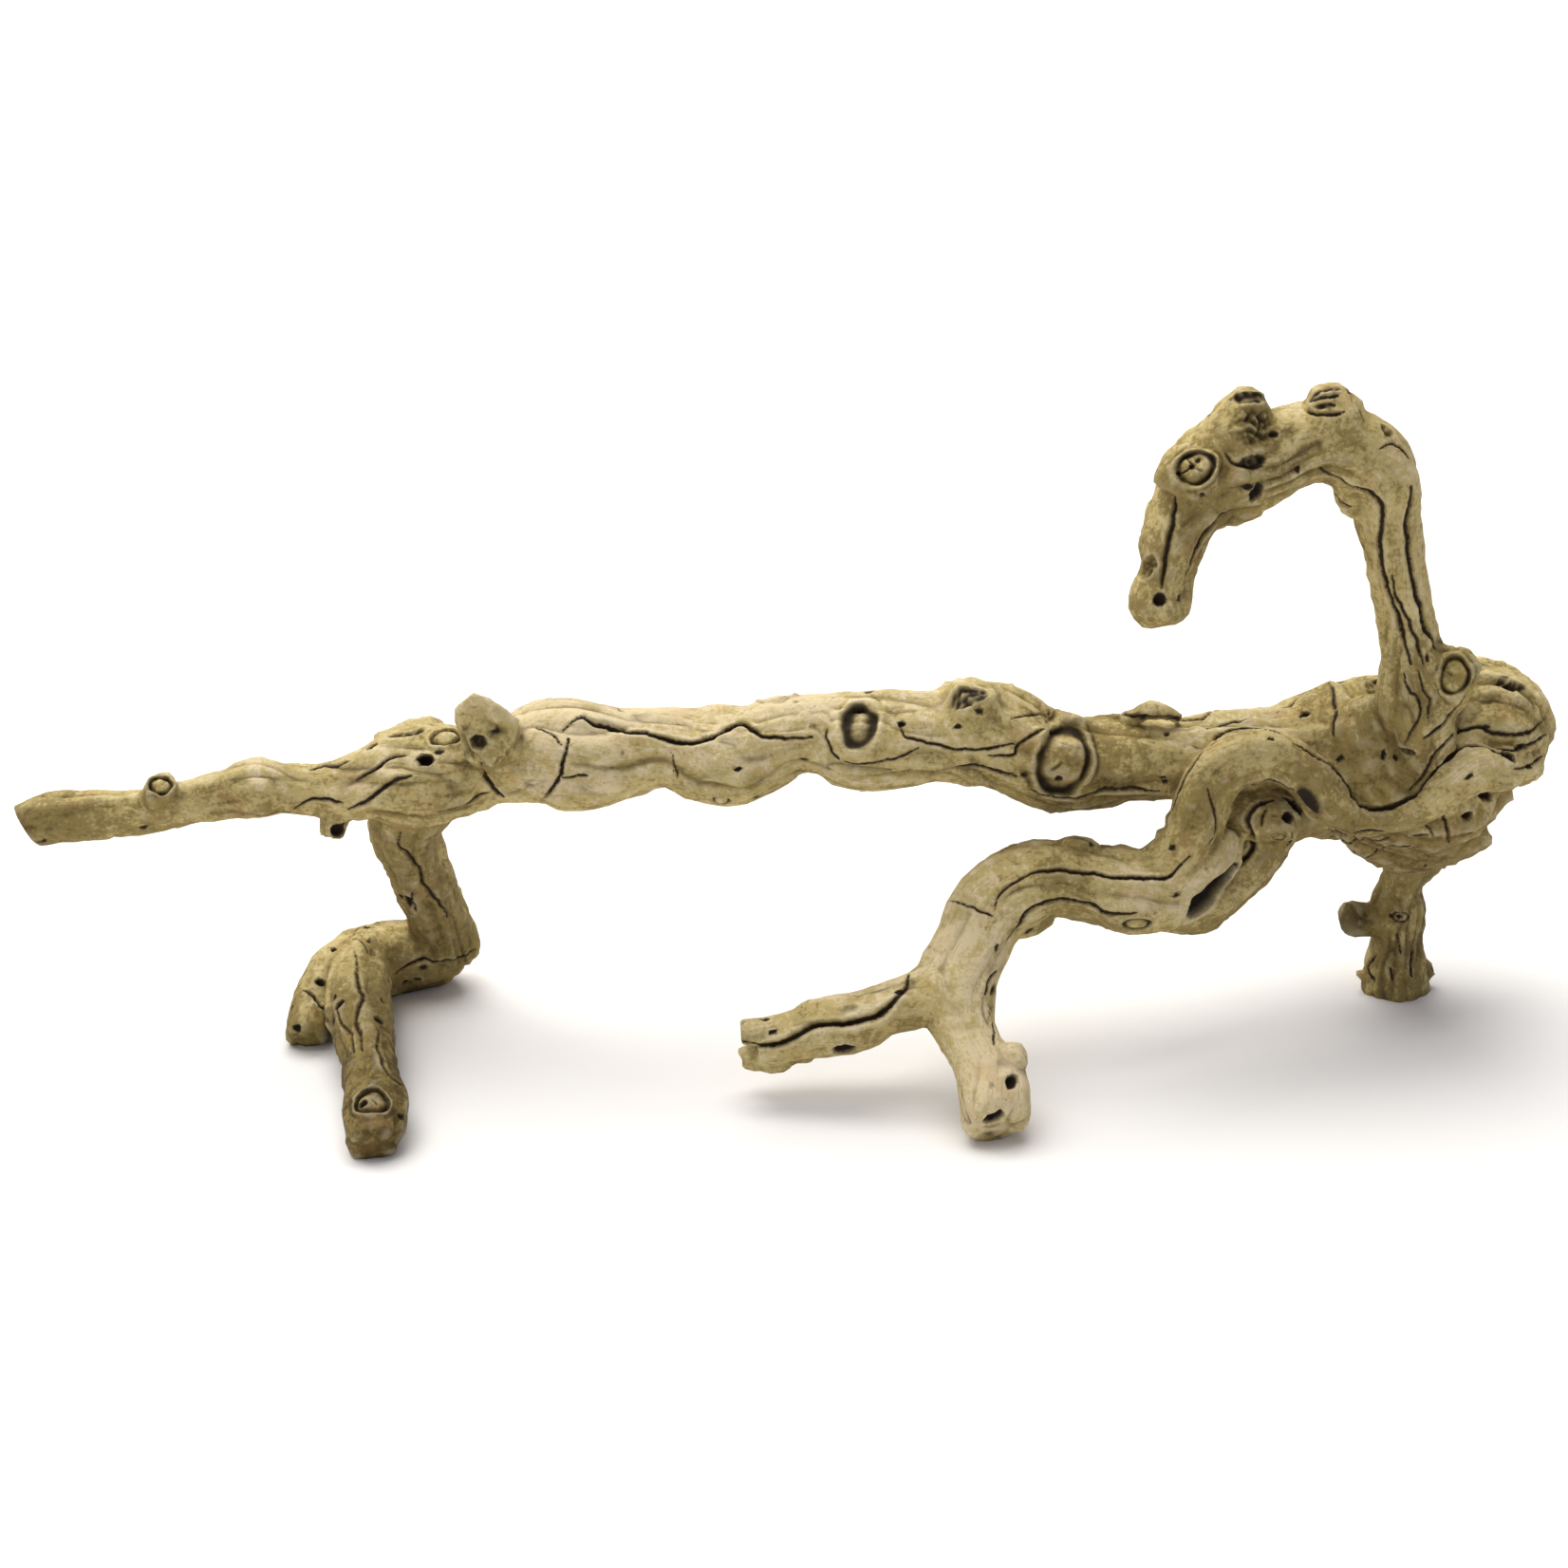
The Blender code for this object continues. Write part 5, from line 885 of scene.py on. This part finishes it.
def carve(wood, limbs):
    # cuts cracks, knots and grain into the fused body, and gives the marks that the finish reads
    mesh = wood.data
    points, normals = readRows(mesh, "co"), readRows(mesh, "normal")
    tree = BVHTree.FromPolygons([Vector(p) for p in points], [tuple(p.vertices) for p in mesh.polygons])
    knots = findKnots(tree, limbs)
    rows = crackRows(tree, limbs)
    print("wood:", len(points), "points,", len(knots), "knots,", len(rows), "crack marks")
    gaps, depths, halfWidths = crackGaps(points, rows)
    flowed = flowRoundKnots(points, normals, knots)
    grain, flutes, tone, trust = grainPlaces(flowed, limbs)
    carved, rings, dark = pressKnots(points, normals, knots)
    nubs, wormHoleShade = raiseNubs(points, normals, tree, limbs)
    # the dark inside worm holes is painted shade
    dark = np.maximum(dark, wormHoleShade)
    groove = -depths * np.clip(1 - gaps / halfWidths, 0, None) ** 0.8
    lipHeight, lipPlace, lipWidth = driftwood["crackLip"]
    groove += lipHeight * depths * ridge(gaps - lipPlace * halfWidths, lipWidth * halfWidths)
    lumpSize, lumpHeight = driftwood["lump"]
    lift = flutes + softNoise(points / mm / lumpSize) * lumpHeight * mm + groove
    ribLength, ribWidth, ribHeight = driftwood["ribs"]
    ribs = softNoise(grain / (ribLength, ribWidth, ribWidth))
    checkLength, checkSpacing, checkDepth = driftwood["checks"]
    lines = softNoise(grain / (checkLength, checkSpacing, checkSpacing) + 31.7)
    stretchLength, stretchWidth = driftwood["checked"]
    stretches = softNoise(grain / (stretchLength, stretchWidth, stretchWidth) + 11.3)
    present = smoothStep(0.0, 0.35, stretches)
    checks = np.clip(1 - np.abs(lines) / 0.1, 0, 1) * present * trust
    plain = smoothStep(1.0, 1.6, rings)
    bandLength, bandWidth, bandHeight = driftwood["bands"]
    ribs = ribs * ribHeight + bandHeight * softNoise(grain / (bandLength, bandWidth, bandWidth) + 5.1)
    lift += (ribs - checks * checkDepth) * mm * (0.3 + 0.7 * trust) * plain + nubs
    for size, height in driftwood["bumps"]:
        lift += softNoise(points / mm / size + size) * height * (0.35 + tone) * mm
    carved += normals * lift[:, None]
    sawEnds(carved, limbs)
    mesh.vertices.foreach_set("co", carved.astype(np.float32).ravel())
    mesh.update()
    marks = {
        "grain": grain, "crack": np.clip(gaps / halfWidths, 0, 4), "dark": dark,
        "tone": tone + weatherAndShade(points), "trust": trust, "checks": checks,
        "recess": recesses(mesh, carved),
    }
    marked = (marks["crack"] < 2.2) | (rings < 1.6) | (dark > 0.02)
    print("wood carved")
    return marks, marked, carved


def thinOut(wood, marked):
    plain = wood.vertex_groups.new(name="plain")
    plain.add(np.flatnonzero(~marked).tolist(), 1.0, "REPLACE")
    plain.add(np.flatnonzero(marked).tolist(), 0.1, "REPLACE")
    count = sum(len(p.vertices) - 2 for p in wood.data.polygons)
    applyModifier(
        wood, "DECIMATE", ratio=driftwood["triangles"] / count,
        vertex_group="plain", vertex_group_factor=driftwood["keepMarks"],
    )
    wood.vertex_groups.clear()


def keepMarks(wood, marks, carved):
    # the thinned mesh takes each value from the nearest point of the full one
    mesh = wood.data
    nearest, _ = nearestPlaces(carved, readRows(mesh, "co"))
    marks = {name: values[nearest] for name, values in marks.items()}
    darker, paintedTopLight = driftwood["toneAndPaintedTopLight"]
    # what faces up is made paler: painted light from above
    marks["tone"] = marks["tone"] + darker - paintedTopLight * readRows(mesh, "normal")[:, 2]
    for name, values in marks.items():
        kind, what = ("FLOAT_VECTOR", "vector") if values.ndim == 2 else ("FLOAT", "value")
        layer = mesh.attributes.new(name, kind, "POINT")
        layer.data.foreach_set(what, values.astype(np.float32).ravel())


def levelFeet(wood):
    # what reaches below the ground is cut away, so each foot stands on a small flat
    pickOnly(wood)
    bpy.ops.object.mode_set(mode="EDIT")
    bpy.ops.mesh.select_all(action="SELECT")
    bpy.ops.mesh.bisect(plane_co=(0, 0, 0), plane_no=(0, 0, 1), clear_inner=True, use_fill=True)
    bpy.ops.mesh.select_all(action="SELECT")
    bpy.ops.mesh.quads_convert_to_tris()
    bpy.ops.object.mode_set(mode="OBJECT")


def makeWood():
    limbs = {name: Limb(stations) for name, stations in limbStations.items()}
    wood = fusedLimbs(limbs)
    marks, marked, carved = carve(wood, limbs)
    thinOut(wood, marked)
    keepMarks(wood, marks, carved)
    levelFeet(wood)
    pickOnly(wood)
    bpy.ops.object.shade_smooth()
    print("wood made:", len(wood.data.polygons), "faces")
    return wood


# ---- the finish: grapevine wood, its bark blasted off with sand and left raw. The blast leaves the
# hard grain proud in fine ribs and bleaches the ridges to a chalky tan, with a painted highlight on
# them too; the low places are darker with painted shade and dirt, old brown bark and dirt lie in the
# cracks and knot rings, and the holes are near black with painted shade. It has no gloss.

finish = {
    # the ridge colour is partly a painted highlight, the dirt colour partly painted shade in the low
    # places, and the hollow colour painted shade in the holes
    "pale": "#d3c29b", "tan": "#bba971", "brown": "#8e7c4a", "bleachAndHighlight": "#ddd3b0",
    "pink": "#b48f5e", "green": "#948445",
    "speck": "#473824", "dirtAndShade": "#544520", "crack": "#382d21", "hollow": "#2b2118",
    "clouds": {  # scale, detail and roughness of each noise, from broad mottling to the pores
        "mottle": (34, 5, 0.62), "stains": (62, 3, 0.6), "moss": (48, 3, 0.6),
        "grit": (210, 3, 0.6), "pores": (620, 3, 0.6), "specks": (330, 2, 0.55),
    },
    "streaks": {  # length and width in mm, detail and roughness of what runs along the grain
        "fibres": (26, 0.8, 3, 0.6), "bands": (75, 5.5, 3, 0.55), "flecks": (4, 0.8, 2, 0.5),
    },
    "roughness": 0.86,
    "specular": 0.22,
    "bump": {"Strength": 0.8, "Distance": 0.5 * mm},
}


def woodMaterial():
    material = bpy.data.materials.new("sandblastedGrapewood")
    material.use_nodes = True
    tree = material.node_tree
    shader = tree.nodes["Principled BSDF"]
    shader.inputs["Roughness"].default_value = finish["roughness"]
    shader.inputs["Specular IOR Level"].default_value = finish["specular"]

    value = {}
    for name in ("grain", "crack", "dark", "tone", "trust", "checks", "recess"):
        node = addNode(tree, "ShaderNodeAttribute", attribute_name=name)
        value[name] = node.outputs["Vector" if name == "grain" else "Fac"]
    coords = addNode(tree, "ShaderNodeTexCoord").outputs["Object"]

    def alongGrain(length, width):
        scale = (1 / length, 1 / width, 1 / width)
        node = addNode(tree, "ShaderNodeMapping", {"Scale": scale}, {"Vector": value["grain"]})
        return node.outputs["Vector"]

    def cloud(place, scale, detail, rough):
        settings = {"Scale": scale, "Detail": detail, "Roughness": rough}
        node = addNode(tree, "ShaderNodeTexNoise", settings, {"Vector": place})
        return node.outputs["Fac"]

    def remap(source, low, high, toLow=0.0, toHigh=1.0):
        node = addNode(
            tree, "ShaderNodeMapRange",
            {"From Min": low, "From Max": high, "To Min": toLow, "To Max": toHigh}, {"Value": source},
            interpolation_type="SMOOTHSTEP",
        )
        return node.outputs["Result"]

    def combine(first, second, how="MULTIPLY"):
        node = addNode(tree, "ShaderNodeMath", operation=how)
        for i, source in enumerate((first, second)):
            if isinstance(source, (int, float)):
                node.inputs[i].default_value = source
            else:
                tree.links.new(source, node.inputs[i])
        return node.outputs[0]

    def blend(amount, below, colour):
        node = addNode(tree, "ShaderNodeMix", data_type="RGBA")
        tree.links.new(amount, node.inputs[0])
        for i, source in ((6, below), (7, colour)):
            if isinstance(source, str):
                node.inputs[i].default_value = hexColour(source)
            else:
                tree.links.new(source, node.inputs[i])
        return node.outputs[2]

    for name, settings in finish["clouds"].items():
        value[name] = cloud(coords, *settings)
    for name, (length, width, detail, rough) in finish["streaks"].items():
        value[name] = cloud(alongGrain(length, width), 1, detail, rough)
    mottle, stains, pores, recess, trust = [
        value[name] for name in ("mottle", "stains", "pores", "recess", "trust")
    ]

    # how dark the sound wood is, with painted light on what faces up and the painted shade and light of
    # some patches
    tone = value["tone"]
    for cause in (
        remap(mottle, 0.3, 0.7, -0.24, 0.24), combine(remap(value["bands"], 0.35, 0.7, -0.12, 0.2), trust),
        remap(value["grit"], 0.3, 0.7, -0.2, 0.2), remap(pores, 0.3, 0.7, -0.2, 0.2),
    ):
        tone = combine(tone, cause, "ADD")
    # darker in grooves and low places: painted shade, with some dirt, mottled
    paintedShadeAndDirtInLows = combine(remap(recess, 0.05, 0.9, 0, 0.6), remap(mottle, 0.3, 0.6, 0.6, 1))
    specks = combine(remap(value["specks"], 0.63, 0.74, 0, 0.5), remap(stains, 0.42, 0.6, 0.1, 1))
    gap = combine(value["crack"], remap(pores, 0.3, 0.7, -0.2, 0.2), "ADD")

    # pale wood, and what lies over it, layer on layer
    colour = finish["pale"]
    for amount, name in (
        # bleached tan to olive brown and dirt, mottled pink and green, paler on its ridges: bleached, with
        # a painted highlight
        (remap(tone, 0, 0.5), "tan"), (remap(tone, 0.5, 1), "brown"), (remap(tone, 1, 1.9), "dirtAndShade"),
        (remap(stains, 0.54, 0.7, 0, 0.3), "pink"), (remap(value["moss"], 0.55, 0.7, 0, 0.45), "green"),
        # paler on the ridges: bleaching, with a painted highlight
        (remap(recess, -0.05, -0.9, 0, 0.28), "bleachAndHighlight"),
        # painted shade and dirt in the low places, dirt between the fibres, dark flecks and specks, drying
        # cracks
        (paintedShadeAndDirtInLows, "dirtAndShade"), (combine(remap(value["fibres"], 0.46, 0.28, 0, 0.3), trust), "dirtAndShade"),
        (combine(remap(value["flecks"], 0.62, 0.74, 0, 0.35), trust), "speck"), (specks, "speck"),
        (combine(value["checks"], 0.6), "crack"),
        # dirt along the lips of the cracks, near black at their bottom and in the knot rings, and near
        # black in the holes as painted shade
        (remap(gap, 1.9, 0.8, 0, 0.35), "dirtAndShade"), (remap(gap, 1.05, 0.55), "crack"),
        (value["dark"], "hollow"),
    ):
        colour = blend(amount, colour, finish[name])
    tree.links.new(colour, shader.inputs["Base Color"])

    # the finest fibres and pores, under half a millimetre high
    fibres = combine(combine(value["fibres"], 0.5), trust)
    height = combine(fibres, combine(pores, value["grit"], "ADD"), "ADD")
    bump = addNode(tree, "ShaderNodeBump", finish["bump"], {"Height": height})
    tree.links.new(bump.outputs["Normal"], shader.inputs["Normal"])
    return material


wood = makeWood()
wood.data.materials.clear()
wood.data.materials.append(woodMaterial())
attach(wood, "root")
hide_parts("driftwood")


# ---- the ground and the light: a white table under a broad soft light, above and a little behind

studio = {
    "floorSize": 24,
    "floor": "#f4f3f1",
    "floorRoughness": 0.9,
    "aim": Vector((0, 0, 0.1)),
    "sky": 0.31,
    "skyColour": "#e9ebff",
    "key": {"place": (-1.0, 1.5, 5.0), "size": 6.2, "watts": 510, "colour": "#fffcf6"},
    "fill": {"place": (-2.2, -3.2, 2.2), "size": 2.0, "watts": 16, "colour": "#fff8ee"},
}


def makeStudio():
    pickOnly()
    bpy.ops.mesh.primitive_plane_add(size=studio["floorSize"], location=(0, 0, 0))
    ground = bpy.context.object
    ground.name = "paleFloor"
    material = bpy.data.materials.new("mattWhiteCard")
    material.use_nodes = True
    shader = material.node_tree.nodes["Principled BSDF"]
    shader.inputs["Base Color"].default_value = hexColour(studio["floor"])
    shader.inputs["Roughness"].default_value = studio["floorRoughness"]
    ground.data.materials.append(material)
    for name in ("key", "fill"):
        lamp = studio[name]
        turn = (studio["aim"] - Vector(lamp["place"])).to_track_quat("-Z", "Y").to_euler()
        bpy.ops.object.light_add(type="AREA", location=lamp["place"], rotation=turn)
        light = bpy.context.object
        light.name = name + "Light"
        light.data.size = lamp["size"]
        light.data.energy = lamp["watts"]
        light.data.color = hexColour(lamp["colour"])[:3]
    world = bpy.data.worlds.new("whiteRoom")
    world.use_nodes = True
    tree = world.node_tree
    background = tree.nodes["Background"]
    background.inputs["Color"].default_value = hexColour(studio["skyColour"])
    # the room looks white, and lights the wood less than that
    ray = addNode(tree, "ShaderNodeLightPath").outputs["Is Camera Ray"]
    seen = addNode(tree, "ShaderNodeMapRange", {"To Min": studio["sky"], "To Max": 1.0}, {"Value": ray})
    tree.links.new(seen.outputs["Result"], background.inputs["Strength"])
    bpy.context.scene.world = world
    bpy.context.scene.view_settings.view_transform = "Standard"


makeStudio()
print("studio set")
